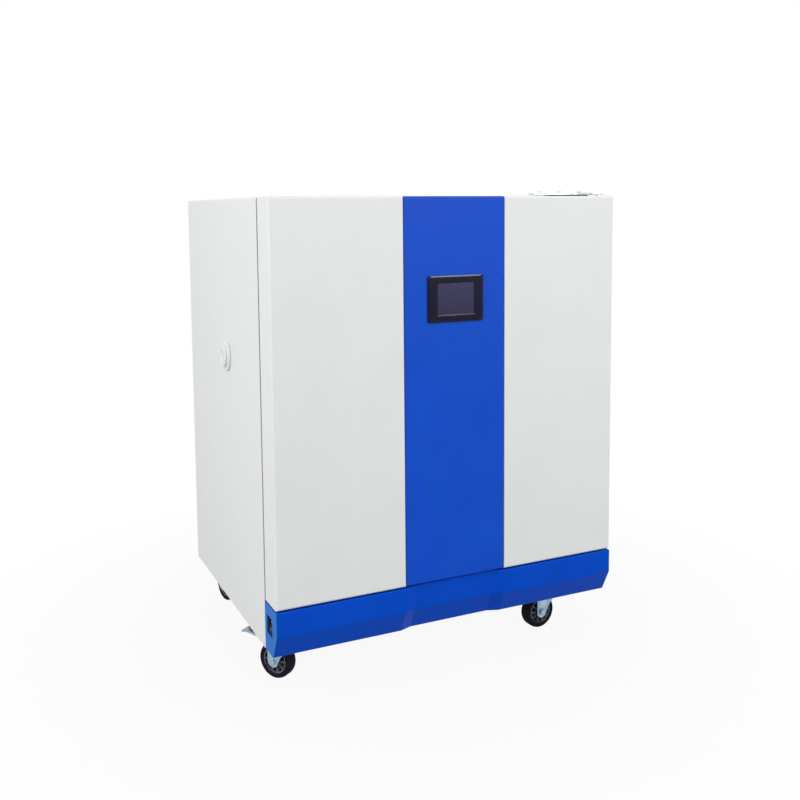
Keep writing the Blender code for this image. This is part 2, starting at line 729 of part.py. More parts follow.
def make_insulation():
    """Foam between the casing and the liner, under the chamber and behind it."""
    bottom = CHAMBER_FLOOR - LINER - FIT - FLOOR_INSULATION
    low = (LEFT + SHEET + FIT, FRAME_BACK + FIT, bottom)
    back = CHAMBER_BACK + LINER + FIT + BACK_INSULATION
    high = (RIGHT - SHEET - FIT, back, TOP - SHEET - FIT)
    block = soften(box("insulation", low, high), CASE_RADIUS - SHEET, 1)
    room = LINER + FIT
    inside = box(
        "insulation_inside",
        (CHAMBER_LEFT - room, CASE_FRONT, CHAMBER_FLOOR - room),
        (CHAMBER_RIGHT + room, CHAMBER_BACK + room, CHAMBER_ROOF + room),
    )
    cut(block, inside)
    wall_holes(block, "insulation", 3 * FLOOR_INSULATION)
    tube_radius = PORT_BORE_RADIUS + PORT_TUBE_WALL
    port = PORT + Vector((WALL / 2, 0, 0))
    cut(block, cylinder("insulation_port_hole", port, tube_radius + FIT, 2 * WALL, "X", PORT_SIDES))
    fan = Vector((FAN.x, CHAMBER_BACK + BACK_INSULATION, FAN.z))
    pocket = cylinder("insulation_fan_hole", fan, FAN_MOTOR_RADIUS + FIT, 3 * BACK_INSULATION, "Y")
    return foam(cut(block, pocket))


def skirt_section(x, recess):
    """The skirt's open profile at one place along X: top flange, face, chamfer, bottom flange."""
    face = FRONT + recess
    return [
        (x, SKIRT_BACK, SKIRT_TOP),
        (x, face, SKIRT_TOP),
        (x, face, BASE + CREASE_HEIGHT),
        (x, face + CHAMFER, BASE),
        (x, SKIRT_BACK, BASE),
    ]


def make_skirt():
    """The blue fascia under the door: a shell open at the back, stepped in below the stripe."""
    stations = [
        (LEFT, 0.0),
        (MIDDLE - RECESS_OUTER / 2, 0.0),
        (MIDDLE - RECESS_INNER / 2, RECESS_DEPTH),
        (MIDDLE + RECESS_INNER / 2, RECESS_DEPTH),
        (MIDDLE + RECESS_OUTER / 2, 0.0),
        (RIGHT, 0.0),
    ]
    bm = bmesh.new()
    rings = [[bm.verts.new(p) for p in skirt_section(x, recess)] for x, recess in stations]
    for near, far in zip(rings, rings[1:]):
        for i in range(len(near) - 1):
            bm.faces.new((near[i], far[i], far[i + 1], near[i + 1]))
    bm.faces.new(rings[0])
    bm.faces.new(rings[-1][::-1])
    skirt = add_object("skirt", closed_mesh("skirt", bm))
    shell = skirt.modifiers.new("shell", "SOLIDIFY")
    shell.thickness = SKIRT_WALL
    shell.offset = -1
    shell.use_even_offset = True
    window = box(
        "switch_window",
        (LEFT - SKIRT_WALL, SWITCH.y - SWITCH_WIDTH / 2, SWITCH.z - SWITCH_HEIGHT / 2),
        (LEFT + 3 * SKIRT_WALL, SWITCH.y + SWITCH_WIDTH / 2, SWITCH.z + SWITCH_HEIGHT / 2),
    )
    pin = HINGE + Vector((0, 0, SKIRT_TOP))
    pin_hole = cylinder("skirt_pin_hole", pin, PIN_RADIUS + SKIRT_PIN_ROOM, 4 * SKIRT_WALL, "Z", 16)
    return blue_coat(cut(skirt, window, pin_hole))


def make_switch():
    """A black switch body set a little into the window, and the rocker that pivots in it."""
    half_width, half_height = SWITCH_WIDTH / 2 - FIT, SWITCH_HEIGHT / 2 - FIT
    face = LEFT + SWITCH_SINK
    body = box(
        "switch_body",
        (face, SWITCH.y - half_width, SWITCH.z - half_height),
        (face + SWITCH_DEPTH, SWITCH.y + half_width, SWITCH.z + half_height),
    )
    pocket_width = ROCKER_WIDTH / 2 + RUNNING
    pocket_height = ROCKER_HEIGHT / 2 + ROCKER_END_GAP
    pocket = box(
        "switch_pocket",
        (face - SWITCH_SINK, SWITCH.y - pocket_width, SWITCH.z - pocket_height),
        (face + SWITCH_POCKET, SWITCH.y + pocket_width, SWITCH.z + pocket_height),
    )
    axis = Vector((face + ROCKER_AXIS_BACK, SWITCH.y, SWITCH.z))
    pivot_length = ROCKER_WIDTH + 2 * ROCKER_PIVOT_END
    hole_radius, hole_length = ROCKER_PIVOT_RADIUS + RUNNING, pivot_length + ROCKER_PIVOT_END
    pivot_hole = cylinder("switch_pivot_hole", axis, hole_radius, hole_length, "Y", 12)
    black_plastic(cut(body, pocket, pivot_hole))
    half = ROCKER_HEIGHT / 2
    outline = [
        (axis.x - ROCKER_ENDS, axis.z - half),
        (axis.x - ROCKER_WAIST, axis.z),
        (axis.x - ROCKER_ENDS, axis.z + half),
        (axis.x - ROCKER_EDGE, axis.z + half),
        (axis.x + ROCKER_KEEL, axis.z),
        (axis.x - ROCKER_EDGE, axis.z - half),
    ]
    left, right = SWITCH.y - ROCKER_WIDTH / 2, SWITCH.y + ROCKER_WIDTH / 2
    rocker = plate("power_rocker", [outline], "Y", left, right)
    join(rocker, cylinder("rocker_pivot", axis, ROCKER_PIVOT_RADIUS, pivot_length, "Y", 12))
    pivot = empty("rocker_axis", axis)
    hang(pivot, axis, black_plastic(rocker))
    pivot.rotation_euler[1] = ROCKER_TILT


def make_port():
    """A flanged tube through the left wall, and the stopper that pulls out of it."""
    tube_radius = PORT_BORE_RADIUS + PORT_TUBE_WALL
    inner_end = WALL + PORT_TUBE_PROUD
    profile = [
        (PORT_BORE_RADIUS, -PORT_FLANGE_PROUD),
        (PORT_FLANGE_RADIUS - PORT_FLANGE_EDGE, -PORT_FLANGE_PROUD),
        (PORT_FLANGE_RADIUS, -PORT_FLANGE_PROUD + PORT_FLANGE_EDGE),
        (PORT_FLANGE_RADIUS, -FIT),
        (tube_radius, -FIT),
        (tube_radius, inner_end),
        (PORT_BORE_RADIUS, inner_end),
    ]
    white_coat(turned("port_sleeve", profile, PORT, "X", PORT_SIDES))
    stem = PORT_BORE_RADIUS - FIT
    seat = -PORT_FLANGE_PROUD - FIT
    profile = [
        (0, -PORT_REACH),
        (PLUG_HEAD_RADIUS - PLUG_HEAD_EDGE, -PORT_REACH),
        (PLUG_HEAD_RADIUS, -PORT_REACH + PLUG_HEAD_EDGE),
        (PLUG_HEAD_RADIUS, seat),
        (stem, seat),
        (stem - PLUG_TAPER, seat + PLUG_STEM),
        (0, seat + PLUG_STEM),
    ]
    plug = turned("port_plug", profile, PORT, "X", PORT_SIDES)
    hang(empty("port_plug_slide", PORT), PORT, white_rubber(plug))


def door_panel(name, x0, x1, closed_left, closed_right, setback):
    """A front panel folded round the door's core: full depth outside, shallow beside the stripe."""
    front = FRONT + setback
    panel = box(name, (x0, front, DOOR_BOTTOM), (x1, DOOR_BACK, TOP))
    bm = bmesh.new()
    bm.from_mesh(panel.data)
    edges = []
    for edge in bm.edges:
        a, b = edge.verts
        at_front = max(abs(a.co.y - front), abs(b.co.y - front)) < 1e-6
        outer = (closed_left and max(a.co.x, b.co.x) - x0 < 1e-6) or (
            closed_right and x1 - min(a.co.x, b.co.x) < 1e-6
        )
        level = abs(a.co.z - b.co.z) < 1e-6
        if at_front and (outer or level):
            edges.append(edge)
    bmesh.ops.bevel(bm, geom=edges, offset=DOOR_RADIUS, segments=3, profile=0.5, affect="EDGES")
    bm.to_mesh(panel.data)
    bm.free()
    skin = DOOR_SKIN
    shallow = box(
        f"{name}_hollow",
        (x0 + skin, front + skin, DOOR_BOTTOM + skin),
        (x1 - skin, DOOR_BACK + skin, TOP - skin),
    )
    soften(shallow, DOOR_RADIUS - skin, 2)
    through = box(
        f"{name}_core_room",
        (x0 + skin if closed_left else x0 - skin, FRONT + PANEL_DEPTH, DOOR_BOTTOM + skin),
        (x1 - skin if closed_right else x1 + skin, DOOR_BACK + skin, TOP - skin),
    )
    return cut(panel, shallow, through)


def pin_bore(name, z, depth):
    centre = HINGE + Vector((0, 0, z))
    return cylinder(name, centre, PIN_RADIUS + RUNNING, depth, "Z", 16)


def liner_outline(inset):
    """The door liner's rounded outline, which stands clear inside the chamber's mouth."""
    return rectangle(
        LEFT + LINER_INSET + inset,
        CHAMBER_FLOOR + LINER_INSET - WALL + inset,
        RIGHT - LINER_INSET - inset,
        TOP - LINER_INSET - inset,
        LINER_RADIUS - inset,
    )


def make_door():
    stripe_left, stripe_right = MIDDLE - STRIPE_WIDTH / 2, MIDDLE + STRIPE_WIDTH / 2
    left = door_panel("door_left_panel", LEFT, stripe_left, True, False, 0.0)
    right = door_panel("door_right_panel", stripe_right, RIGHT, False, True, 0.0)
    cut(right, pin_bore("right_panel_top_bore", TOP, 4 * DOOR_SKIN))
    cut(right, pin_bore("right_panel_bottom_bore", DOOR_BOTTOM, 4 * DOOR_SKIN))
    stripe = door_panel(
        "door_stripe", stripe_left + PANEL_JOINT, stripe_right - PANEL_JOINT, False, False, STRIPE_SETBACK
    )
    bezel_z = TOP - BEZEL_DROP
    half_width, half_height = BEZEL_WIDTH / 2, BEZEL_HEIGHT / 2
    window = rectangle(
        MIDDLE - half_width + BEZEL_LIP,
        bezel_z - half_height + BEZEL_LIP,
        MIDDLE + half_width - BEZEL_LIP,
        bezel_z + half_height - BEZEL_LIP,
    )
    face = FRONT + STRIPE_SETBACK
    cut(stripe, plate("screen_window", [window], "Y", face - DOOR_SKIN, face + 2 * DOOR_SKIN))
    inset = DOOR_SKIN + FIT
    core = box(
        "door_core",
        (LEFT + inset, FRONT + PANEL_DEPTH + FIT, DOOR_BOTTOM + inset),
        (RIGHT - inset, DOOR_BACK, TOP - inset),
    )
    bore_length = 2 * (PIN_DEPTH + PIN_END_ROOM)
    cut(core, pin_bore("core_top_bore", TOP, bore_length))
    cut(core, pin_bore("core_bottom_bore", DOOR_BOTTOM, bore_length))
    gasket_inner = GASKET_INSET + GASKET_WIDTH
    ring = [
        rectangle(LEFT + i, DOOR_BOTTOM + i, RIGHT - i, TOP - i, radius)
        for i, radius in ((GASKET_INSET, GASKET_RADIUS), (gasket_inner, GASKET_RADIUS / 2))
    ]
    gasket = plate("door_gasket", ring, "Y", DOOR_BACK + FIT, CASE_FRONT - FIT)
    plug_back = DOOR_BACK + LINER_PLUG
    liner = plate("door_liner", [liner_outline(0)], "Y", DOOR_BACK + FIT, plug_back)
    cut(liner, plate("liner_pan", [liner_outline(LINER)], "Y", DOOR_BACK - FIT, plug_back - LINER))
    plug = liner_outline(LINER + FIT)
    join(core, plate("core_plug", [plug], "Y", DOOR_BACK - FIT, plug_back - LINER - FIT))
    outline = rectangle(
        MIDDLE - half_width, bezel_z - half_height, MIDDLE + half_width, bezel_z + half_height, BEZEL_RADIUS
    )
    bezel = plate("screen_bezel", [outline], "Y", face - BEZEL_PROUD, face - FIT)
    inner = rectangle(
        MIDDLE - half_width + BEZEL_LIP + FIT,
        bezel_z - half_height + BEZEL_LIP + FIT,
        MIDDLE + half_width - BEZEL_LIP - FIT,
        bezel_z + half_height - BEZEL_LIP - FIT,
    )
    join(bezel, plate("bezel_body", [inner], "Y", face - BEZEL_PROUD / 2, face + BEZEL_BODY))
    glass_face = face - BEZEL_PROUD + SCREEN_SINK
    seat_depth = glass_face + SCREEN_SEAT
    seat = rectangle(
        MIDDLE - SCREEN_WIDTH / 2 - FIT,
        bezel_z - SCREEN_HEIGHT / 2 - FIT,
        MIDDLE + SCREEN_WIDTH / 2 + FIT,
        bezel_z + SCREEN_HEIGHT / 2 + FIT,
    )
    cut(bezel, plate("screen_seat", [seat], "Y", face - 2 * BEZEL_PROUD, seat_depth))
    glass = rectangle(
        MIDDLE - SCREEN_WIDTH / 2,
        bezel_z - SCREEN_HEIGHT / 2,
        MIDDLE + SCREEN_WIDTH / 2,
        bezel_z + SCREEN_HEIGHT / 2,
    )
    screen = plate("touch_screen", [glass], "Y", glass_face, seat_depth - FIT)
    pieces = (
        white_coat(left),
        white_coat(right),
        blue_coat(stripe),
        paint(core, "foam_panel", (0.78, 0.80, 0.78), 0.55),
        white_rubber(gasket),
        stainless(liner),
        black_plastic(bezel),
        paint(screen, "screen_glass", (0.055, 0.047, 0.105), 0.12),
    )
    hang(empty("door_hinge", HINGE), HINGE, *pieces)


def make_top_bracket():
    """A raised plate on the casing's top, with an arm over the door and the upper hinge pin."""
    low = TOP + BRACKET_LIFT
    high = low + BRACKET_THICK
    right = RIGHT - BRACKET_EDGE
    left = right - BRACKET_LENGTH
    arm = HINGE.x - BRACKET_ARM
    nose = HINGE.y - BRACKET_NOSE
    corner_x, corner_y = BRACKET_CORNER
    outline = [
        (left, CASE_FRONT + BRACKET_EDGE),
        (arm, CASE_FRONT + BRACKET_EDGE),
        (arm, nose),
        (right - corner_x, nose),
        (right, nose + corner_y),
        (right, CASE_FRONT + BRACKET_REACH),
        (left, CASE_FRONT + BRACKET_REACH),
    ]
    bracket = plate("top_hinge_bracket", [outline], "Z", low, high)
    middle_y = CASE_FRONT + (BRACKET_EDGE + BRACKET_REACH) / 2
    for i in range(3):
        x = left + BRACKET_FOOT_INSET + i * (BRACKET_LENGTH / 2 - BRACKET_FOOT_INSET)
        foot = (x, middle_y, TOP + FIT + BRACKET_LIFT / 2)
        join(bracket, cylinder(f"bracket_foot_{i}", foot, BRACKET_FOOT_RADIUS, BRACKET_LIFT, "Z", 12))
        head = (x, middle_y, high + BRACKET_SCREW_HEAD / 4)
        screw_height = 1.5 * BRACKET_SCREW_HEAD
        join(bracket, cylinder(f"bracket_screw_{i}", head, BRACKET_SCREW_RADIUS, screw_height, "Z", 8))
    head_radius, head_bottom = PIN_RADIUS + PIN_COLLAR, high - BRACKET_THICK / 2
    profile = [
        (0, high + PIN_HEAD),
        (head_radius, high + PIN_HEAD),
        (head_radius, head_bottom),
        (PIN_RADIUS, head_bottom),
        (PIN_RADIUS, TOP - PIN_DEPTH),
        (0, TOP - PIN_DEPTH),
    ]
    join(bracket, turned("top_pin", profile, HINGE, "Z", 16))
    return zinc(bracket)


def make_bottom_bracket():
    """An angle on the front frame, hidden in the skirt, with the lower pin that carries the door."""
    back = CASE_FRONT - FIT
    front = FRONT + LOWER_BRACKET_FRONT
    high = SKIRT_TOP - LOWER_BRACKET_DROP
    profile = [
        (front, high - BRACKET_THICK),
        (back - BRACKET_THICK, high - BRACKET_THICK),
        (back - BRACKET_THICK, high - LOWER_BRACKET_LEG),
        (back, high - LOWER_BRACKET_LEG),
        (back, high),
        (front, high),
    ]
    left, right = HINGE.x - LOWER_BRACKET_LEFT, HINGE.x + LOWER_BRACKET_RIGHT
    bracket = plate("bottom_hinge_bracket", [profile], "X", left, right)
    shoulder, pin_foot = DOOR_BOTTOM - FIT, high - BRACKET_THICK / 2
    pin = [
        (0, pin_foot),
        (PIN_RADIUS + PIN_COLLAR, pin_foot),
        (PIN_RADIUS + PIN_COLLAR, shoulder),
        (PIN_RADIUS, shoulder),
        (PIN_RADIUS, DOOR_BOTTOM + PIN_DEPTH),
        (0, DOOR_BOTTOM + PIN_DEPTH),
    ]
    return zinc(join(bracket, turned("bottom_pin", pin, HINGE, "Z", 16)))


def bearing(name, axis, shaft, flange):
    barrel = shaft + BEARING_WALL
    low, high = PLATE_TOP + FIT, PLATE_TOP + BEARING_HEIGHT
    bore = shaft + RUNNING
    profile = [
        (bore, low),
        (flange, low),
        (flange, low + BEARING_FLANGE),
        (barrel, low + BEARING_FLANGE),
        (barrel - BEARING_DRAFT, high),
        (bore, high),
    ]
    return aluminium(turned(name, profile, axis, "Z", 16))


def make_drive_mount():
    """The bridge plate on the base frame, the three bearing housings, the motor and the belt."""
    half_width, half_depth = DRIVE_PLATE_WIDTH / 2, DRIVE_PLATE_DEPTH / 2
    foot = BASE + FRAME_HEIGHT + FIT
    left, right = MIDDLE - half_width, MIDDLE + half_width
    profile = [
        (left - DRIVE_FOOT, foot),
        (left + DRIVE_PLATE, foot),
        (left + DRIVE_PLATE, PLATE_UNDER),
        (right - DRIVE_PLATE, PLATE_UNDER),
        (right - DRIVE_PLATE, foot),
        (right + DRIVE_FOOT, foot),
        (right + DRIVE_FOOT, foot + DRIVE_PLATE),
        (right, foot + DRIVE_PLATE),
        (right, PLATE_TOP),
        (left, PLATE_TOP),
        (left, foot + DRIVE_PLATE),
        (left - DRIVE_FOOT, foot + DRIVE_PLATE),
    ]
    front = PLATFORM.y - half_depth
    mount = plate("drive_plate", [profile], "Y", front, front + DRIVE_PLATE_DEPTH)
    for name, axis, radius in (
        ("plate_main_hole", PLATFORM, MAIN_SHAFT_RADIUS + SHAFT_ROOM),
        ("plate_motor_hole", MOTOR, MOTOR_HOLE_RADIUS),
    ):
        centre = (axis.x, axis.y, PLATE_TOP - DRIVE_PLATE / 2)
        cut(mount, cylinder(name, centre, radius, 3 * DRIVE_PLATE, "Z", 16))
    steel(mount)
    for name, axis, radius in shaft_places():
        flange = MAIN_FLANGE_RADIUS if name == "main" else IDLER_FLANGE_RADIUS
        bearing(f"{name}_bearing", axis, radius, flange)
    make_motor()
    make_belt()


def make_motor():
    """A can on a square flange, with a blind bore for the shaft."""
    low = PLATE_TOP + FIT
    x0, y0 = MOTOR.x - MOTOR_RADIUS, MOTOR.y - MOTOR_RADIUS
    x1, y1 = MOTOR.x + MOTOR_RADIUS, MOTOR.y + MOTOR_RADIUS
    square = rectangle(x0, y0, x1, y1, MOTOR_CORNER)
    motor = plate("drive_motor", [square], "Z", low, low + MOTOR_FLANGE)
    high, middle = low + MOTOR_HEIGHT, low + MOTOR_FLANGE / 2
    can = MOTOR_RADIUS - MOTOR_CAN_INSET
    profile = [
        (0, middle),
        (can, middle),
        (can, high - MOTOR_EDGE),
        (can - MOTOR_EDGE, high),
        (0, high),
    ]
    join(motor, turned("motor_can", profile, MOTOR, "Z", 20))
    place = MOTOR + Vector((0, 0, low))
    bore = cylinder("motor_bore", place, MOTOR_SHAFT_RADIUS + RUNNING, 2 * MOTOR_BORE_DEPTH, "Z", 12)
    return black_metal(cut(motor, bore))


def belt_outline(offset, steps=12):
    """The open belt's path round both pulleys, grown by an offset."""
    between = MOTOR - PLATFORM
    distance = between.length
    heading = math.degrees(math.atan2(between.y, between.x))
    wrap = math.degrees(math.acos((DRIVEN_PULLEY_RADIUS - MOTOR_PULLEY_RADIUS) / distance))
    big, small = DRIVEN_PULLEY_RADIUS + offset, MOTOR_PULLEY_RADIUS + offset
    path = arc(PLATFORM.x, PLATFORM.y, big, heading + wrap, heading + 360 - wrap, 2 * steps)
    path += arc(MOTOR.x, MOTOR.y, small, heading - wrap, heading + wrap, steps)
    return path


def make_belt():
    outlines = [belt_outline(FIT + BELT_THICK), belt_outline(FIT)]
    low, high = PULLEY_MIDDLE - BELT_WIDTH / 2, PULLEY_MIDDLE + BELT_WIDTH / 2
    return rubber(plate("drive_belt", outlines, "Z", low, high))


def grooved_rim(radius):
    """The outside of a pulley from its bottom to its top, with a low flange at each end."""
    groove = BELT_WIDTH / 2 + BELT_SIDE_GAP
    flange = radius + PULLEY_FLANGE
    return [
        (flange, PULLEY_BOTTOM),
        (flange, PULLEY_MIDDLE - groove),
        (radius, PULLEY_MIDDLE - groove),
        (radius, PULLEY_MIDDLE + groove),
        (flange, PULLEY_MIDDLE + groove),
        (flange, PULLEY_TOP),
    ]


def webbed_pulley(radius, bore):
    """A bored hub, a thin web and a grooved rim."""
    hub, rim, web = bore + PULLEY_HUB_WALL, radius - PULLEY_RIM, PULLEY_MIDDLE - PULLEY_WEB / 2
    lower = [(bore, PULLEY_BOTTOM), (hub, PULLEY_BOTTOM), (hub, web), (rim, web), (rim, PULLEY_BOTTOM)]
    upper = [(r, 2 * PULLEY_MIDDLE - z) for r, z in reversed(lower)]
    return lower + grooved_rim(radius) + upper


def crank(name, axis, shaft, disc, bottom):
    """A shaft with its crank disc and the offset pin that drives the platform."""
    profile = [
        (0, bottom),
        (shaft, bottom),
        (shaft, CRANK_BOTTOM),
        (disc, CRANK_BOTTOM),
        (disc, CRANK_TOP - CRANK_EDGE),
        (disc - CRANK_EDGE, CRANK_TOP),
        (0, CRANK_TOP),
    ]
    body = turned(name, profile, axis, "Z", 16)
    pin_top = CARRIER_TOP - CRANK_EDGE
    pin = axis + CRANK_OFFSET + Vector((0, 0, (CRANK_BOTTOM + pin_top) / 2))
    join(body, cylinder(f"{name}_pin", pin, CRANK_PIN_RADIUS, pin_top - CRANK_BOTTOM, "Z", 14))
    return steel(body)


def make_cranks():
    """The main crank with its pulley and counterweight, and the two idler cranks."""
    main = shaft_places()[0]
    shaft = crank("main_crankshaft", main[1], main[2], MAIN_CRANK_RADIUS, PULLEY_BOTTOM)
    bore = main[2] + FIT
    pulley = turned("driven_pulley", webbed_pulley(DRIVEN_PULLEY_RADIUS, bore), PLATFORM, "Z", 24)
    weight = arc(PLATFORM.x, PLATFORM.y, COUNTERWEIGHT_TO, 115, 245, 7)
    weight += arc(PLATFORM.x, PLATFORM.y, COUNTERWEIGHT_FROM, 245, 115, 4)
    low, high = PULLEY_BOTTOM + COUNTERWEIGHT_SINK, PULLEY_TOP - COUNTERWEIGHT_SINK
    join(pulley, plate("counterweight", [weight], "Z", low, high))
    hang(empty("main_crank_axis", PLATFORM), PLATFORM, shaft, aluminium(pulley))
    for name, axis, radius in shaft_places()[1:]:
        idler = crank(f"{name}_crank", axis, radius, IDLER_CRANK_RADIUS, PLATE_TOP + 2 * CRANK_EDGE)
        hang(empty(f"{name}_axis", axis), axis, idler)
    profile = [(0, PULLEY_BOTTOM), *grooved_rim(MOTOR_PULLEY_RADIUS), (0, PULLEY_TOP)]
    pulley = turned("motor_pulley", profile, MOTOR, "Z", 20)
    shaft_top = PLATE_TOP + MOTOR_SHAFT_REACH
    middle = MOTOR + Vector((0, 0, (PULLEY_BOTTOM + shaft_top) / 2))
    length = shaft_top - PULLEY_BOTTOM
    join(pulley, cylinder("motor_shaft", middle, MOTOR_SHAFT_RADIUS, length, "Z", 12))
    hang(empty("motor_axis", MOTOR), MOTOR, aluminium(pulley))


def make_platform():
    """The carrier on the three crank pins, the tray on it, and a plate of flask clamps."""
    centre = PLATFORM + CRANK_OFFSET
    half_width, half_depth = CARRIER_WIDTH / 2, CARRIER_DEPTH / 2
    outlines = [centred_rectangle(centre, half_width, half_depth, CARRIER_RADIUS)]
    for _, axis, _ in shaft_places():
        place = axis + CRANK_OFFSET
        outlines.append(circle(place.x, place.y, CRANK_PIN_RADIUS + RUNNING, 14))
    for side in (-1, 1):
        edges = (half_width - CARRIER_RIM, CARRIER_SPINE)
        x0, x1 = sorted(centre.x + side * edge for edge in edges)
        y0, y1 = centre.y - half_depth + CARRIER_RIM, centre.y + CARRIER_WINDOW_BACK
        outlines.append(rectangle(x0, y0, x1, y1, CARRIER_WINDOW_RADIUS, 2))
    carrier = plate("platform_carrier", outlines, "Z", CARRIER_BOTTOM, CARRIER_TOP)
    tray = make_tray(centre)
    clamps = make_clamps(centre)
    hang(empty("platform_axis", centre), centre, aluminium(carrier), tray, clamps)


def centred_rectangle(centre, half_width, half_depth, radius):
    return rectangle(
        centre.x - half_width, centre.y - half_depth, centre.x + half_width, centre.y + half_depth, radius
    )


def make_tray(centre):
    """A shallow tray with a lip all round."""
    half_width, half_depth = TRAY_WIDTH / 2, TRAY_DEPTH / 2
    outer = centred_rectangle(centre, half_width, half_depth, TRAY_RADIUS)
    tray = plate("shaking_tray", [outer], "Z", TRAY_BOTTOM, TRAY_BOTTOM + TRAY_LIP)
    w, d = half_width - TRAY_SHEET, half_depth - TRAY_SHEET
    inner = centred_rectangle(centre, w, d, TRAY_RADIUS - TRAY_SHEET)
    floor = TRAY_BOTTOM + TRAY_SHEET
    cut(tray, plate("tray_inside", [inner], "Z", floor, TRAY_BOTTOM + 2 * TRAY_LIP))
    return stainless(tray)


def clamp_leg(name, centre, angle, floor):
    """A spring leg: up from the base, bowed out, and curled in over the flask's shoulder."""
    steps = 4
    out = Vector((math.cos(angle), math.sin(angle), 0))
    side = Vector((-math.sin(angle), math.cos(angle), 0)) * CLAMP_LEG_WIDTH / 2
    sections = []
    for step in range(steps + 1):
        t = step / steps
        reach = CLAMP_RADIUS + CLAMP_BOW * math.sin(math.pi * t) - CLAMP_CURL * t**4
        middle = centre + out * reach + Vector((0, 0, floor + CLAMP_HEIGHT * t))
        thick = out * CLAMP_LEG_SHEET / 2
        sections.append(
            [middle - side - thick, middle + side - thick, middle + side + thick, middle - side + thick]
        )
    return loft(name, sections)


def make_clamps(centre):
    """A drop-in plate with four spring-leg clamps for conical flasks."""
    half_width, half_depth = TRAY_WIDTH / 2 - CLAMP_PLATE_INSET, TRAY_DEPTH / 2 - CLAMP_PLATE_INSET
    sheet = centred_rectangle(centre, half_width, half_depth, CLAMP_PLATE_RADIUS)
    top = CLAMP_BOTTOM + CLAMP_PLATE
    clamps = plate("clamp_plate", [sheet], "Z", CLAMP_BOTTOM, top)
    number = 0
    for sign_x in (-1, 1):
        for sign_y in (-1, 1):
            offset = Vector((sign_x * CLAMP_PITCH_X / 2, sign_y * CLAMP_PITCH_Y / 2, 0))
            place = centre + offset
            for quarter in range(4):
                angle = math.radians(90 * quarter)
                join(clamps, clamp_leg(f"clamp_leg_{number}", place, angle, top - CLAMP_LEG_SINK))
                number += 1
    return stainless(clamps)


def make_duct():
    """The plate in front of the plenum: a slotted fan inlet, and outlets at top and bottom."""
    low, high = CHAMBER_FLOOR + DUCT_END_GAP, CHAMBER_ROOF - DUCT_END_GAP
    outline = rectangle(CHAMBER_LEFT + FIT, low, CHAMBER_RIGHT - FIT, high)
    holes = []
    half = INTAKE_SLOT / 2
    for i in range(INTAKE_SLOTS):
        x = FAN.x + (i - (INTAKE_SLOTS - 1) / 2) * INTAKE_PITCH
        reach = math.sqrt(FAN_RADIUS**2 - (x - FAN.x) ** 2) * INTAKE_SHARE
        holes.append(rectangle(x - half, FAN.z - reach, x + half, FAN.z + reach, 0.8 * half, 1))
    for z in (CHAMBER_FLOOR + LOWER_OUTLET_RISE, CHAMBER_ROOF - UPPER_OUTLET_DROP):
        for i in range(OUTLETS):
            x = MIDDLE + (i - (OUTLETS - 1) / 2) * OUTLET_PITCH
            holes.append(rectangle(x - OUTLET_WIDTH / 2, z, x + OUTLET_WIDTH / 2, z + OUTLET_HEIGHT))
    panel = plate("air_duct_panel", [outline, *holes], "Y", DUCT_FACE, DUCT_FACE + DUCT_SHEET)
    return stainless(panel)


def make_fan():
    """A centrifugal wheel on the motor's shaft, which passes through the liner's back."""
    plate_y = CHAMBER_BACK - FAN_GAP
    front = plate_y - FAN_DEPTH
    place = Vector((FAN.x, 0, FAN.z))
    shaft_end = CHAMBER_BACK + LINER + FAN_SHAFT_REACH
    # Turned along Y, so a profile's height runs towards -Y
    profile = [
        (0, -shaft_end),
        (FAN_SHAFT_RADIUS, -shaft_end),
        (FAN_SHAFT_RADIUS, -plate_y),
        (FAN_RADIUS, -plate_y),
        (FAN_RADIUS, -plate_y + FAN_PLATE),
        (FAN_HUB_RADIUS, -plate_y + FAN_PLATE),
        (FAN_NOSE_RADIUS, -front - FAN_NOSE),
        (0, -front - FAN_NOSE),
    ]
    wheel = turned("fan_wheel", profile, place, "Y", 24)
    for i in range(FAN_BLADES):
        turn = math.tau / FAN_BLADES * i
        swept = turn - math.radians(BLADE_SWEEP)
        outer = FAN_RADIUS - BLADE_SINK
        lead = Vector((BLADE_FROM * math.cos(turn), BLADE_FROM * math.sin(turn), 0))
        tail = Vector((outer * math.cos(swept), outer * math.sin(swept), 0))
        side = (tail - lead).normalized().cross(Vector((0, 0, 1))) * BLADE_SHEET / 2
        corners = (lead - side, tail - side, tail + side, lead + side)
        outline = [(corner.x + FAN.x, corner.y + FAN.z) for corner in corners]
        join(wheel, plate(f"fan_blade_{i}", [outline], "Y", front, plate_y - BLADE_SINK))
    hang(empty("fan_axis", FAN), FAN, aluminium(wheel))
    face = -(CHAMBER_BACK + LINER + FIT)
    back = face - FAN_MOTOR_DEPTH
    bore, bore_end = FAN_SHAFT_RADIUS + RUNNING, -shaft_end - FAN_SHAFT_RADIUS
    profile = [
        (0, bore_end),
        (bore, bore_end),
        (bore, face),
        (FAN_MOTOR_RADIUS, face),
        (FAN_MOTOR_RADIUS, back + MOTOR_EDGE),
        (FAN_MOTOR_RADIUS - MOTOR_EDGE, back),
        (0, back),
    ]
    return black_metal(turned("fan_motor", profile, place, "Y", 24))


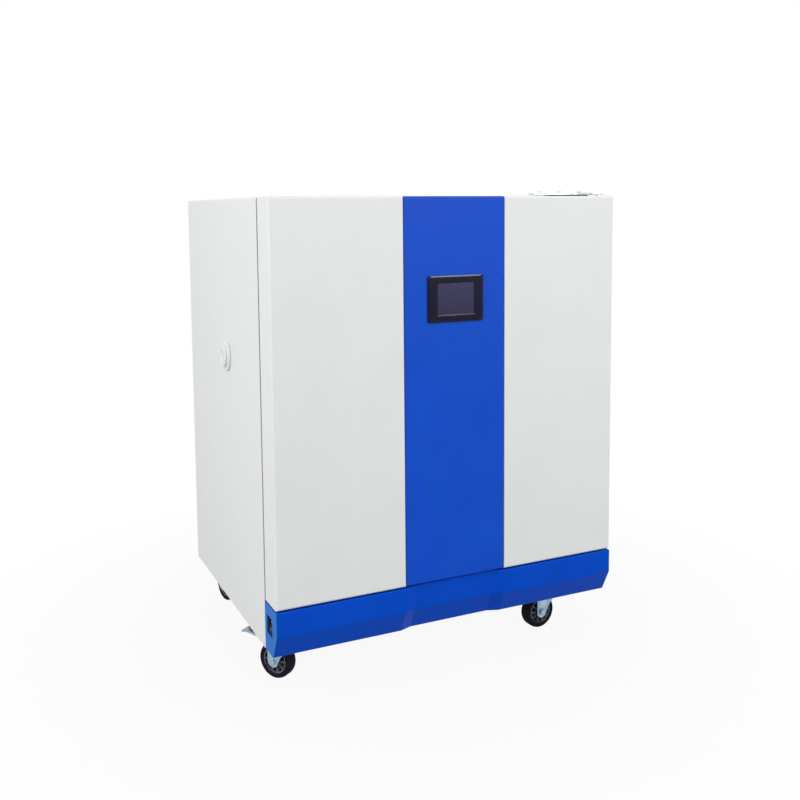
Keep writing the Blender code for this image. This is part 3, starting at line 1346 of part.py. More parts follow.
def make_heater():
    """A bent heating rod round the fan, its two ends turned back to the liner."""
    y = CHAMBER_BACK - PLENUM / 2
    ring = arc(FAN.x, FAN.z, HEATER_RADIUS, HEATER_GAP - 90, 270 - HEATER_GAP, 15)
    route = [(x, y, z) for x, z in ring]
    end = CHAMBER_BACK - FIT
    (x0, z0), (x1, z1) = ring[0], ring[-1]
    bend = y + HEATER_ROD
    route = [(x0, end, z0), (x0, bend, z0), *route[1:-1], (x1, bend, z1), (x1, end, z1)]
    curve = bpy.data.curves.new("heater", "CURVE")
    curve.dimensions = "3D"
    curve.bevel_depth = HEATER_ROD
    curve.bevel_resolution = 1
    curve.use_fill_caps = True
    spline = curve.splines.new("POLY")
    spline.points.add(len(route) - 1)
    for point, place in zip(spline.points, route):
        point.co = (*place, 1)
    heater = bpy.data.objects.new("heater", curve)
    PARTS.objects.link(heater)
    return steel(heater)


def make_probe():
    """A temperature probe that stands out of the duct panel into the chamber."""
    root = -(DUCT_FACE - FIT)
    profile = [
        (0, root),
        (PROBE_GLAND_RADIUS, root),
        (PROBE_GLAND_RADIUS, root + PROBE_GLAND),
        (PROBE_RADIUS, root + PROBE_GLAND + PROBE_TIP),
        (PROBE_RADIUS, root + PROBE_LENGTH - PROBE_TIP),
        (PROBE_RADIUS - PROBE_TIP, root + PROBE_LENGTH),
        (0, root + PROBE_LENGTH),
    ]
    place = (MIDDLE + PROBE_OUT, 0, CHAMBER_ROOF - PROBE_DROP)
    return stainless(turned("temperature_probe", profile, place, "Y", 12))


def make_control_box():
    """The electronics box on the base frame's rear rail."""
    width, depth, height = CONTROL_BOX
    left = LEFT + SHEET + CONTROL_BOX_LEFT
    rear = REAR - SHEET - CONTROL_BOX_REAR
    front = rear - depth
    low = BASE + FRAME_HEIGHT + FIT
    high = low + height
    case = box("control_box", (left, front, low), (left + width, rear, high))
    soften(case, CONTROL_BOX_EDGE, 1)
    for i in range(BOX_GROOVES):
        x = left + width / 2 + (i - (BOX_GROOVES - 1) / 2) * BOX_GROOVE_PITCH
        groove = box(
            f"box_groove_{i}",
            (x - BOX_GROOVE / 2, front + BOX_GROOVE_INSET, high - BOX_GROOVE_DEPTH),
            (x + BOX_GROOVE / 2, rear - BOX_GROOVE_INSET, high + BOX_GROOVE_DEPTH),
        )
        cut(case, groove)
    return grey_plastic(case)


def inlet_place():
    return RIGHT - INLET_INSET, BASE + INLET_RISE


def make_inlet():
    """The mains inlet in the rear cover: a recessed socket with three flat pins."""
    x, z = inlet_place()
    rear, front = REAR + INLET_PROUD, REAR - INLET_DEPTH
    half_width, half_height = INLET_WIDTH / 2, INLET_HEIGHT / 2
    inlet = box(
        "mains_inlet", (x - half_width, front, z - half_height), (x + half_width, rear, z + half_height)
    )
    w, h = half_width - INLET_WALL - INLET_FLANGE, half_height - INLET_WALL
    outline = [
        (x - w, z - h),
        (x + w, z - h),
        (x + w, z + h - INLET_CORNER),
        (x + w - INLET_CORNER, z + h),
        (x - w + INLET_CORNER, z + h),
        (x - w, z + h - INLET_CORNER),
    ]
    floor = front + INLET_FLOOR
    cut(inlet, plate("inlet_recess", [outline], "Y", floor, rear + INLET_PROUD))
    pin_width, pin_height = INLET_PIN
    for i, (out, up) in enumerate(INLET_PINS):
        low = (x + out - pin_width / 2, floor - INLET_FLOOR / 2, z + up - pin_height / 2)
        high = (x + out + pin_width / 2, rear - INLET_PIN_SINK, z + up + pin_height / 2)
        join(inlet, box(f"inlet_pin_{i}", low, high))
    return black_plastic(inlet)


def caster_plate_mesh():
    """The bolted top plate with the upper half of the ball race under it."""
    top = CASTER_HEIGHT - FIT
    half, under = PLATE_SIZE / 2, top - PLATE_SHEET
    outline = rectangle(-half, -half, half, half, PLATE_RADIUS, 2)
    sheet = plate("caster_sheet", [outline], "Z", under, top)
    low = CROWN_TOP + RACE_RISE + RUNNING
    profile = [
        (0, under + PLATE_SHEET / 2),
        (RACE_RADIUS - RACE_EDGE, under + PLATE_SHEET / 2),
        (RACE_RADIUS + RACE_FLARE, under - RACE_CUP),
        (RACE_RADIUS + RACE_FLARE, low),
        (0, low),
    ]
    return baked(join(sheet, turned("upper_race", profile, (0, 0, 0), "Z", 16)))


def fork_leg_outline(braked):
    """A leg seen from the side, tapering from the crown to a round end at the axle."""
    rear = BRAKED_CROWN_REAR if braked else CROWN_REAR
    outline = [(-CROWN_FRONT, CROWN_TOP), (-CROWN_FRONT, CROWN_TOP - FORK_FRONT_DROP)]
    outline += arc(TRAIL, WHEEL_RADIUS, FORK_END_RADIUS, 205, 360, 6)
    outline += [(rear, CROWN_TOP - FORK_REAR_DROP), (rear, CROWN_TOP)]
    return outline


def fork_mesh(braked):
    """A crown over two legs, with the swivel's lower race, the axle and its nuts."""
    inner = WHEEL_WIDTH / 2 + FORK_CLEARANCE
    outer = inner + FORK_SHEET
    rear = BRAKED_CROWN_REAR if braked else CROWN_REAR
    crown = box("crown", (-CROWN_FRONT, -outer, CROWN_TOP - FORK_SHEET), (rear, outer, CROWN_TOP))
    for side in (-1, 1):
        outlines = [fork_leg_outline(braked)]
        if braked:
            hole = circle(PEDAL_PIN_OUT, PEDAL_PIN_HEIGHT, PEDAL_PIN_RADIUS + RUNNING, 12)
            outlines.append(hole)
        y0, y1 = sorted((side * inner, side * outer))
        join(crown, plate(f"leg_{side}", outlines, "Y", y0, y1))
    race = [
        (0, CROWN_TOP + RACE_RISE),
        (RACE_RADIUS - RACE_EDGE, CROWN_TOP + RACE_RISE),
        (RACE_RADIUS, CROWN_TOP - FORK_SHEET / 2),
        (0, CROWN_TOP - FORK_SHEET / 2),
    ]
    join(crown, turned("lower_race", race, (0, 0, 0), "Z", 16))
    axle = (TRAIL, 0, WHEEL_RADIUS)
    join(crown, cylinder("axle", axle, AXLE_RADIUS, 2 * (outer + AXLE_END), "Y", 10))
    sink = FORK_SHEET / 6
    for side in (-1, 1):
        nut = (TRAIL, side * (outer + (AXLE_NUT_HEIGHT - sink) / 2), WHEEL_RADIUS)
        join(crown, cylinder(f"axle_nut_{side}", nut, AXLE_NUT_RADIUS, AXLE_NUT_HEIGHT + sink, "Y", 6))
    return baked(crown)


def hub_mesh():
    """The wheel's centre, built about its own middle: a rim and a boss, joined by a web and ribs."""
    rim = WHEEL_RADIUS - TYRE_DEPTH - FIT
    bore = AXLE_RADIUS + RUNNING
    boss_half = WHEEL_WIDTH / 2 + FORK_CLEARANCE - FIT
    rim_inner, half_rim = rim - HUB_RIM, WHEEL_WIDTH / 2 - HUB_RIM_INSET
    pitch = 360 / HUB_RIBS
    inner_gap = math.degrees(HUB_RIB / 2 / HUB_BOSS_RADIUS)
    outer_gap = math.degrees(HUB_RIB / 2 / rim_inner)
    outlines = [circle(0, 0, rim, WHEEL_SIDES), circle(0, 0, bore, 10)]
    for i in range(HUB_RIBS):
        first, last = i * pitch, (i + 1) * pitch
        cell = arc(0, 0, rim_inner, first + outer_gap, last - outer_gap, 1)
        cell += arc(0, 0, HUB_BOSS_RADIUS, last - inner_gap, first + inner_gap, 1)
        outlines.append(cell)
    hub = plate("hub", outlines, "Y", -half_rim, half_rim)
    boss_radius = HUB_BOSS_RADIUS - HUB_RIM / 3
    web = [circle(0, 0, rim_inner + HUB_RIM / 3, WHEEL_SIDES), circle(0, 0, boss_radius - HUB_RIM / 3, 10)]
    join(hub, plate("web", web, "Y", -HUB_WEB / 2, HUB_WEB / 2))
    boss = [circle(0, 0, boss_radius, 10), circle(0, 0, bore, 10)]
    return baked(join(hub, plate("boss", boss, "Y", -boss_half, boss_half)))


def tyre_mesh():
    inner, half = WHEEL_RADIUS - TYRE_DEPTH, WHEEL_WIDTH / 2
    drop, across = TYRE_SHOULDER
    side = [(inner, half - TYRE_BEAD), (WHEEL_RADIUS - drop, half), (WHEEL_RADIUS, half - across)]
    profile = side + [(radius, -y) for radius, y in reversed(side)]
    return baked(turned("tyre", profile, (0, 0, 0), "Y", WHEEL_SIDES))


def pedal_mesh():
    """A pressed pedal between the fork's legs: arm, ribbed tip and pivot pin, built about the pin."""
    half = WHEEL_WIDTH / 2 + FORK_CLEARANCE - RUNNING
    reach = PEDAL_REACH - PEDAL_PIN_OUT
    tip = reach - PEDAL_GRIP - PEDAL_PIN_RADIUS
    side_view = [
        *PEDAL_UNDERSIDE,
        (tip, PEDAL_KNEE[0]),
        (reach, PEDAL_TIP[0]),
        (reach, PEDAL_TIP[1]),
        (tip, PEDAL_KNEE[1]),
        *PEDAL_ROOT,
    ]
    pedal = plate("pedal", [side_view], "Y", -half, half)
    pitch = PEDAL_GRIP / PEDAL_TEETH
    for i in range(PEDAL_TEETH):
        x = reach - 0.73 * pitch - i * pitch
        height = PEDAL_TIP[1] - PEDAL_TOOTH / 3 - PEDAL_TAPER * (reach - x)
        foot = height - PEDAL_TOOTH
        tooth = [(x - 0.36 * pitch, foot), (x + 0.36 * pitch, foot), (x, height + PEDAL_TOOTH)]
        join(pedal, plate(f"tooth_{i}", [tooth], "Y", -half, half))
    pin_length = 2 * (half + PEDAL_PIN_END)
    join(pedal, cylinder("pedal_pin", (0, 0, 0), PEDAL_PIN_RADIUS, pin_length, "Y", 12))
    return baked(pedal)


def make_casters():
    """Four swivel casters. The front pair has brake pedals."""
    meshes = {
        "plate": caster_plate_mesh(),
        "fork": fork_mesh(False),
        "braked_fork": fork_mesh(True),
        "hub": hub_mesh(),
        "tyre": tyre_mesh(),
        "pedal": pedal_mesh(),
    }
    for corner, angle in TRAIL_ANGLES.items():
        front = corner.startswith("front")
        x = LEFT + SWIVEL_INSET if corner.endswith("left") else RIGHT - SWIVEL_INSET
        y = FRONT + FRONT_SWIVEL_BACK if front else REAR - REAR_SWIVEL_FORE
        turn = math.radians(angle)
        bolted = add_object(f"caster_plate_{corner}", meshes["plate"])
        bolted.location = (x, y, 0)
        swivel = empty(f"swivel_{corner}", (x, y, 0), turn=turn)
        fork = add_object(f"caster_fork_{corner}", meshes["braked_fork" if front else "fork"])
        axle = empty(f"axle_{corner}", (TRAIL, 0, WHEEL_RADIUS), parent=swivel)
        hub = add_object(f"wheel_hub_{corner}", meshes["hub"])
        tyre = add_object(f"wheel_tyre_{corner}", meshes["tyre"])
        fork.parent = swivel
        hub.parent = tyre.parent = axle
        zinc(bolted)
        zinc(fork)
        black_plastic(hub)
        rubber(tyre)
        if front:
            pedal = add_object(f"brake_pedal_{corner}", meshes["pedal"])
            pedal.parent = empty(
                f"pedal_axis_{corner}", (PEDAL_PIN_OUT, 0, PEDAL_PIN_HEIGHT), parent=swivel
            )
            zinc(pedal)


def main():
    start_scene()
    make_casing()
    make_rear_cover()
    make_front_frame()
    make_base_frame()
    make_liner()
    make_insulation()
    make_skirt()
    make_switch()
    make_port()
    make_door()
    make_top_bracket()
    make_bottom_bracket()
    make_drive_mount()
    make_cranks()
    make_platform()
    make_duct()
    make_fan()
    make_heater()
    make_probe()
    make_control_box()
    make_inlet()
    make_casters()


main()
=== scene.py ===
"""Looks of the floor-standing shaking incubator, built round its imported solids.

Metres, +Z up, in the frame of the solids: the door faces -Y and opens about its right
edge. What shows gets a finer mesh here, which stands for its solid. Every other solid
is kept and gets a procedural finish.
"""

import math

import bmesh
import bpy
from mathutils import Matrix, Vector


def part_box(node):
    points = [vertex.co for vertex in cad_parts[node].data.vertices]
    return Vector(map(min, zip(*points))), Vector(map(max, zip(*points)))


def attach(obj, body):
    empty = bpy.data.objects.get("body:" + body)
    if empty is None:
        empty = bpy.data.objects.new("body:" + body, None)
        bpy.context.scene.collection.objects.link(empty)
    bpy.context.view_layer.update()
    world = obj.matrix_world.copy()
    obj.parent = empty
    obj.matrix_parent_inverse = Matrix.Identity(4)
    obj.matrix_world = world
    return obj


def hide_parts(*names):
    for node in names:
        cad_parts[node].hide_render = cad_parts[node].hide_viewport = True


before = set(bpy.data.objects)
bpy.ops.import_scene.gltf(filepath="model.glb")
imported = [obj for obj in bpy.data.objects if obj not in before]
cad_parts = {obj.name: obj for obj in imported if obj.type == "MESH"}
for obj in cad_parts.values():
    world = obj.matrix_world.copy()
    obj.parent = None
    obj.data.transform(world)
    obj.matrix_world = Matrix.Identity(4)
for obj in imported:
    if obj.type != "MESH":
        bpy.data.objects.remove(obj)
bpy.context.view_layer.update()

# Places read from the solids
CASE_LOW, CASE_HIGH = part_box("outer_casing")
LEFT, RIGHT = CASE_LOW.x, CASE_HIGH.x
BASE, TOP = CASE_LOW.z, CASE_HIGH.z
CASE_FRONT, REAR = CASE_LOW.y, CASE_HIGH.y
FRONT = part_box("door_left_panel")[0].y
MIDDLE = (LEFT + RIGHT) / 2

FIT = 0.0003            # gap between seated faces, as in the solids
SAME = 1e-6             # distance within which two places count as one

# Casing and door
SHEET = 0.002
CASE_RADIUS = 0.004
PLATE_EDGE = 0.0008     # rounding of cut edges, on the casing and the hinge plate
PANEL_SKIN = 0.0018
PANEL_EDGE = 0.005      # rounding of the door's outer edges
PANEL_FOLD = 0.0018     # rounding beside the stripe
PANEL_SEAM = 0.0015     # rounding of the welded corners behind the front
PANEL_DEPTH = 0.020     # of the folds beside the stripe
GASKET_WIDTH, GASKET_RADIUS = 0.024, 0.012
# Half of the gasket's section: distance in from its edge, and share of its depth
GASKET_PROFILE = (
    (0.000, 0.00), (0.000, 0.18), (0.003, 0.30), (0.005, 0.48), (0.002, 0.62), (0.001, 0.86), (0.003, 1.0),
)
LINER_RADIUS, LINER_ROLL = 0.010, 0.004
LINER_MARGIN, LINER_PRESS = 0.045, 0.0011     # place and depth of the field pressed in the door's liner
# That field's edge: distance in, and share of its depth
LINER_STEP = ((0.0, 0.0), (0.0012, 0.3), (0.004, 0.9), (0.006, 1.0))
COVER_SCREWS = 5        # down each side of the rear cover
COVER_SCREW_RADIUS, COVER_SCREW_HEIGHT = 0.0042, 0.0014
COVER_SCREW_MARGIN = 0.013

# Access port: its hole's radius and half the length of the tool that cuts it, then its bore and wall
PORT_HOLE, PORT_CUT = 0.0233, 0.02
PORT_BORE, PORT_WALL = 0.019, 0.004

# Touch screen
BEZEL_RADIUS, GLASS_RADIUS = 0.004, 0.001
BEZEL_CHAMFER, BEZEL_DROP = 0.0036, 0.0014     # width and depth of its outer chamfer
BEZEL_SLOPE = 0.0032    # width of the slope round the glass

# Skirt
SKIRT_WALL, SKIRT_EDGE = 0.0025, 0.0022
SKIRT_CAP, CAP_EDGE = 0.0024, 0.0009     # depth and rounding of the caps on its ends, which are in a lighter blue that is painted sheen
CREASE_HEIGHT, CHAMFER = 0.047, 0.024
RECESS_OUTER, RECESS_INNER, RECESS_DEPTH = 0.224, 0.176, 0.009
PIN_HOLE, PIN_CUT = 0.009, 0.01
SCUFF_HEIGHT = 0.06

# Mains switch
SWITCH_RADIUS, SWITCH_EDGE = 0.0015, 0.0007
SWITCH_RIM = 0.014      # depth of the rimmed part of its body
POCKET_Y, POCKET_Z = 0.0093, 0.0145     # half sizes of the rocker's pocket
ROCKER_AXIS = 0.007     # behind the switch's face
ROCKER_HALF, ROCKER_WIDTH, ROCKER_PROUD = 0.013, 0.018, 0.0062
ROCKER_TILT = 9

# Hinge: where the door's axis stands, and the raised plate on the top
HINGE = (RIGHT - 0.022, FRONT + 0.024)
HINGE_SHEET, HINGE_LIFT = 0.005, 0.003
HINGE_EDGES = (CASE_FRONT + 0.004, CASE_FRONT + 0.034)
HINGE_SCREWS, HINGE_SCREW_INSET = 3, 0.020
HINGE_SCREW_RADIUS, HINGE_SCREW_HEIGHT = 0.0055, 0.0026
PIN_RADIUS, PIN_DEPTH, SPACER_RADIUS = 0.005, 0.022, 0.008
SHADOW_STRIP_INSET = 0.040   # of the black strip under the plate from its left end, which is painted shadow

# Casters
TRAIL = 0.034
WHEEL_WIDTH = 0.025
FORK_SHEET, FORK_CLEARANCE = 0.003, 0.002
FORK_END_RADIUS = 0.0125
# The fork's edge on the swivel's side, from the crown down: distance from the axle, and height above it
FORK_FLARE = ((0.0520, 0.0360), (0.0430, 0.0320), (0.0340, 0.0265), (0.0260, 0.0190), (0.0185, 0.0100))
CROWN_TOP, CROWN_FRONT = 0.0865, -0.026
CROWN_REAR, CROWN_REAR_BRAKED = 0.040, 0.047
AXLE_RADIUS, RACE_RADIUS = 0.004, 0.022
# On the axle's ends: radius, sides, depth sunk in the fork, height above it, rounding
NUT = (0.0068, 6, 0.0, 0.0045, 0.0005)
WASHER = (0.0080, 40, 0.0002, 0.0008, 0.0002)
PLATE_SHEET = 0.0027
BOLT_RADIUS, BOLT_INSET = 0.0058, 0.0075
HUB_RIM, HUB_BOSS = 0.0026, 0.0095     # thickness of the hub's rim, radius of its boss
HUB_RIBS, HUB_RIB = 10, 0.0026
HUB_WEB, HUB_INSET = 0.006, 0.0012     # thickness of its web, and how far its rim stays inside the tyre
TYRE_DEPTH, TYRE_POCKET = 0.010, 0.0016
TYRE_RIBS, TYRE_RIB_WIDTH = 14, 0.0026
PEDAL_PIN_OUT, PEDAL_PIN_HEIGHT = 0.036, 0.080
PEDAL_PIN_RADIUS, PEDAL_PIN_END = 0.003, 0.005     # the pin's radius, and its length outside the pedal
PEDAL_RIDGES = 6
PEDAL_RIDGE, PEDAL_SMOOTH = 0.0013, 0.045     # depth of the ridges, and where they start
# Places along the pedal: distance from the pin, top, thickness and share of the full width
PEDAL_SECTIONS = (
    (-0.0040, 0.0020, 0.0050, 1.00), (0.0040, 0.0024, 0.0065, 1.00), (0.0120, 0.0018, 0.0055, 0.96),
    (0.0220, 0.0014, 0.0046, 0.88), (0.0300, 0.0022, 0.0044, 0.90), (0.0400, 0.0036, 0.0046, 0.96),
    (0.0480, 0.0050, 0.0050, 1.00), (0.0540, 0.0064, 0.0054, 1.00), (0.0600, 0.0078, 0.0058, 1.00),
    (0.0660, 0.0087, 0.0062, 1.00), (0.0710, 0.0086, 0.0064, 1.00), (0.0750, 0.0072, 0.0058, 1.00),
    (0.0780, 0.0048, 0.0044, 0.99), (0.0795, 0.0018, 0.0022, 0.98),
)

# Shaking tray and its flask clamps
TRAY_WALL, TRAY_EDGE, TRAY_RADIUS = 0.002, 0.0008, 0.012
CLAMP_PITCH_X, CLAMP_PITCH_Y = 0.250, 0.150
CLAMP_RADIUS, CLAMP_HEIGHT = 0.050, 0.062
CLAMP_WIDTH, CLAMP_SHEET = 0.020, 0.0015
CLAMP_BOW, CLAMP_CURL = 0.006, 0.012     # how far a leg bows out, and curls in at its top
RIVET_IN = 0.010
SPRING_OUT = 0.0092     # of the coil's middle from the legs' feet
SPRING_WIRE, SPRING_COIL, SPRING_TURNS = 0.0007, 0.0024, 90

# Camera, fitted to the corners of the cabinet in the photograph. Its yaw is to the right of +Y.
CAMERA_PLACE = Vector((-0.879, -1.946, 0.937))
CAMERA_YAW, CAMERA_PITCH, CAMERA_ROLL = 25.066, -5.328, -0.491
CAMERA_LENS, CAMERA_SHIFT_Y = 42.93, -0.125

# Floor: the share of plain white in it by the cabinet, and the distances over which that rises to 1
FLOOR_GLOW = 0.93
SHADOW_NEAR, SHADOW_FAR = 0.45, 1.10

# Light: the room's strength, and each lamp's place, width, height and watts
ROOM = 0.57
LAMPS = {
    "glint_lamp": ((1.26, -1.79, 2.53), 0.36, 0.50, 16),
    "front_lamp": ((0.7, -3.0, 1.34), 2.60, 1.20, 28),
    "side_lamp": ((-2.6, -0.7, 1.8), 1.60, 1.20, 42),
}
LAMP_TARGET = Vector((0, 0, 0.60))

PEEL = 0.00006          # depth of the orange peel in a powder coat

# Local axes of a flat outline: its x and y, and the direction it is thickened in
PLANES = {
    "Z": Matrix.Identity(4),
    "Y": Matrix(((1, 0, 0, 0), (0, 0, -1, 0), (0, 1, 0, 0), (0, 0, 0, 1))),
    "X": Matrix(((0, 0, 1, 0), (1, 0, 0, 0), (0, 1, 0, 0), (0, 0, 0, 1))),
}


def srgb(red, green, blue):
    """A colour given as it shows on a screen, 0 to 255, in the linear values that a shader takes."""
    values = [value / 255 for value in (red, green, blue)]
    return (*[v / 12.92 if v < 0.04045 else ((v + 0.055) / 1.055) ** 2.4 for v in values], 1.0)


def add_node(tree, kind, inputs=None, **settings):
    """A shader node with its settings, its inputs given as values or as the outputs of other nodes."""
    made = tree.nodes.new(kind)
    for name, value in settings.items():
        setattr(made, name, value)
    for name, value in (inputs or {}).items():
        if isinstance(value, bpy.types.NodeSocket):
            tree.links.new(value, made.inputs[name])
        else:
            made.inputs[name].default_value = value
    return made


class Finish:
    """A Principled material in the making. Its textures lie in the piece's own coordinates, in metres."""

    def __init__(self, name, **plain):
        self.material = bpy.data.materials.new(name)
        self.material.use_nodes = True
        self.tree = self.material.node_tree
        self.shader = self.tree.nodes["Principled BSDF"]
        for socket, value in plain.items():
            self.shader.inputs[socket.replace("_", " ")].default_value = value
        self.place = self.node("ShaderNodeTexCoord").outputs["Object"]

    def node(self, kind, inputs=None, **settings):
        return add_node(self.tree, kind, inputs, **settings)

    def noise(self, grain, detail, stretch=(1, 1, 1)):
        """Noise with cells of about the given size in metres, drawn out along the stretched axes."""
        scale = tuple(1 / (grain * s) for s in stretch)
        place = self.node("ShaderNodeMapping", {"Vector": self.place, "Scale": scale}).outputs[0]
        inputs = {"Vector": place, "Scale": 1.0, "Detail": detail}
        return self.node("ShaderNodeTexNoise", inputs).outputs["Fac"]

    def cells(self, size):
        inputs = {"Vector": self.place, "Scale": 1 / size}
        return self.node("ShaderNodeTexVoronoi", inputs, feature="F1").outputs["Distance"]

    def span(self, value, low, high, start=0.3, end=0.7):
        """The value, whose useful range runs from start to end, as a number from low to high."""
        inputs = {"Value": value, "From Min": start, "From Max": end, "To Min": low, "To Max": high}
        return self.node("ShaderNodeMapRange", inputs).outputs["Result"]

    def height(self):
        return self.node("ShaderNodeSeparateXYZ", {"Vector": self.place}).outputs["Z"]

    def times(self, first, second):
        return self.node("ShaderNodeMath", {0: first, 1: second}, operation="MULTIPLY").outputs[0]

    def sum(self, first, second, share=1.0):
        inputs = {0: second, 1: share, 2: first}
        return self.node("ShaderNodeMath", inputs, operation="MULTIPLY_ADD").outputs[0]

    def tint(self, amount, low, high):
        """Screen colours from low to high by an amount whose useful range is 0.3 to 0.7."""
        ramp = self.node("ShaderNodeValToRGB", {"Fac": amount})
        first, last = ramp.color_ramp.elements
        first.position, last.position = 0.3, 0.7
        first.color, last.color = srgb(*low), srgb(*high)
        return ramp.outputs["Color"]

    def mixed(self, amount, low, high):
        inputs = {"Factor": amount, 6: low, 7: high}
        return self.node("ShaderNodeMix", inputs, data_type="RGBA").outputs[2]

    def bump(self, height, depth, under=None):
        """Relief of the given depth in metres, laid over the relief under it."""
        inputs = {"Height": height, "Distance": depth, "Strength": 1.0}
        if under is not None:
            inputs["Normal"] = under
        return self.node("ShaderNodeBump", inputs).outputs["Normal"]

    def done(self, tone, relief=None, rough=None):
        """Links the textures to the shader and returns the material."""
        for name, value in (("Base Color", tone), ("Normal", relief), ("Roughness", rough)):
            if value is not None:
                self.tree.links.new(value, self.shader.inputs[name])
        return self.material


def powder(finish, peel=PEEL):
    """A powder coat's unevenness in tone, its fine grain, and its relief of orange peel."""
    cloud = finish.noise(0.09, 4)
    grain = finish.noise(0.0016, 2)
    waves = finish.bump(finish.noise(0.004, 2), peel)
    return cloud, grain, finish.bump(grain, peel / 4, waves)


def coated(name, low, high, gloss, peel=PEEL):
    """Powder coat, a little uneven in tone and gloss."""
    finish = Finish(name, Specular_IOR_Level=gloss)
    cloud, grain, relief = powder(finish, peel)
    tone = finish.tint(finish.sum(cloud, finish.span(grain, -0.08, 0.08)), low, high)
    rough = finish.span(finish.sum(cloud, grain, 0.5), 0.36, 0.50, 0.5, 1.0)
    return finish.done(tone, relief, rough)


def worn_blue(name):
    """Blue powder coat, with pale scuffs low on the piece where feet and trolleys rub it."""
    finish = Finish(name, Specular_IOR_Level=SKIRT_GLOSS)
    cloud, grain, relief = powder(finish)
    tone = finish.tint(finish.sum(cloud, finish.span(grain, -0.06, 0.06)), BLUE_LOW, BLUE_HIGH)
    low_down = finish.span(finish.height(), 1.0, 0.0, BASE, BASE + SCUFF_HEIGHT)
    streaks = finish.span(finish.noise(0.0035, 5, (3.0, 1, 1)), 0.0, 0.5, 0.66, 0.74)
    colour = finish.mixed(finish.times(low_down, streaks), tone, srgb(126, 156, 208))
    return finish.done(colour, relief, finish.span(cloud, 0.36, 0.50))


def brushed(name, low, high, along):
    """Rolled and brushed steel, with its lines along one axis."""
    stretch = {"X": (60, 1, 1), "Z": (1, 1, 60)}[along]
    finish = Finish(name, Metallic=1.0)
    lines = finish.noise(0.0009, 3, stretch)
    cloud = finish.noise(0.20, 2)
    tone = finish.tint(finish.sum(lines, finish.span(cloud, -0.06, 0.06)), low, high)
    rough = finish.span(finish.sum(lines, cloud, 0.15), 0.26, 0.38, 0.38, 0.78)
    return finish.done(tone, finish.bump(lines, 0.000012), rough)


def zinc_plated(name, low, high, straw):
    """Pressed steel with bright zinc: pale, faintly blue and straw-coloured in patches."""
    finish = Finish(name, Metallic=1.0)
    cloud = finish.noise(0.018, 4)
    patch = finish.noise(0.007, 3)
    pale = finish.tint(cloud, low, high)
    tone = finish.mixed(finish.span(patch, 0.0, 0.25, 0.55, 0.75), pale, srgb(*straw))
    rough = finish.span(cloud, 0.26, 0.46)
    relief = finish.bump(finish.noise(0.0012, 2), 0.00001)
    return finish.done(tone, relief, rough)


def machined(name, low, high, roughness):
    """Turned or milled metal with fine rings and a few stains."""
    finish = Finish(name, Metallic=1.0)
    rings = finish.node(
        "ShaderNodeTexWave", {"Vector": finish.place, "Scale": 900.0, "Distortion": 1.5},
        wave_type="RINGS", rings_direction="Z",
    ).outputs["Fac"]
    cloud = finish.noise(0.02, 4)
    tone = finish.tint(cloud, low, high)
    rough = finish.span(cloud, roughness - 0.06, roughness + 0.12)
    return finish.done(tone, finish.bump(rings, 0.000008), rough)


def cast(name, low, high):
    """Sand-cast aluminium with a pebbled skin."""
    finish = Finish(name, Metallic=1.0)
    sand = finish.noise(0.0014, 4)
    cloud = finish.noise(0.03, 3)
    tone = finish.tint(finish.sum(cloud, finish.span(sand, -0.2, 0.2)), low, high)
    rough = finish.span(sand, 0.42, 0.62)
    return finish.done(tone, finish.bump(sand, 0.00012), rough)


def moulded(name, low, high, roughness, gloss=0.45, texture=0.00003):
    """Moulded plastic with a spark-eroded texture."""
    finish = Finish(name, Specular_IOR_Level=gloss)
    spark = finish.noise(0.0007, 3)
    cloud = finish.noise(0.02, 3)
    tone = finish.tint(cloud, low, high)
    rough = finish.span(spark, roughness - 0.05, roughness + 0.10)
    return finish.done(tone, finish.bump(spark, texture), rough)


def rubbery(name, low, high, dust, gloss=0.35):
    """Rubber with a dull skin that holds dust in patches."""
    finish = Finish(name, Specular_IOR_Level=gloss)
    cloud = finish.noise(0.012, 5)
    grain = finish.noise(0.0009, 3)
    tone = finish.tint(finish.sum(cloud, finish.span(grain, -0.1, 0.1)), low, high)
    dusty = finish.mixed(finish.span(finish.noise(0.006, 5), 0.0, 0.35, 0.56, 0.76), tone, srgb(*dust))
    rough = finish.span(cloud, 0.62, 0.85)
    return finish.done(dusty, finish.bump(grain, 0.00005), rough)


def foamed(name, low, high):
    """Cut insulating foam with open cells."""
    finish = Finish(name, Roughness=0.95, Specular_IOR_Level=0.2)
    cells = finish.cells(0.0012)
    tone = finish.tint(finish.noise(0.02, 4), low, high)
    return finish.done(tone, finish.bump(cells, 0.0003))


def screen_glass(name, low, high):
    """A dark display under glass, with painted reflection that makes it lighter towards the top, and a
    faint grid behind the gloss.
    """
    finish = Finish(name, Roughness=0.18, Coat_Weight=0.10, Coat_Roughness=0.06, Specular_IOR_Level=0.25)
    foot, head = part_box("touch_screen")
    # Painted reflection: the glass gets lighter towards its top, standing in for the room seen in it
    rise = finish.span(finish.height(), 0.3, 0.7, foot.z, head.z)
    grid = finish.cells(0.0011)
    tone = finish.tint(finish.sum(rise, finish.span(grid, -0.05, 0.05, 0.2, 0.6)), low, high)
    return finish.done(tone, finish.bump(finish.noise(0.03, 2), 0.00004))


WHITE_LOW, WHITE_HIGH = (222, 224, 221), (225, 227, 224)
BLUE_LOW, BLUE_HIGH = (2, 71, 190), (4, 75, 196)
STRIPE_GLOSS, SKIRT_GLOSS = 0.15, 0.05

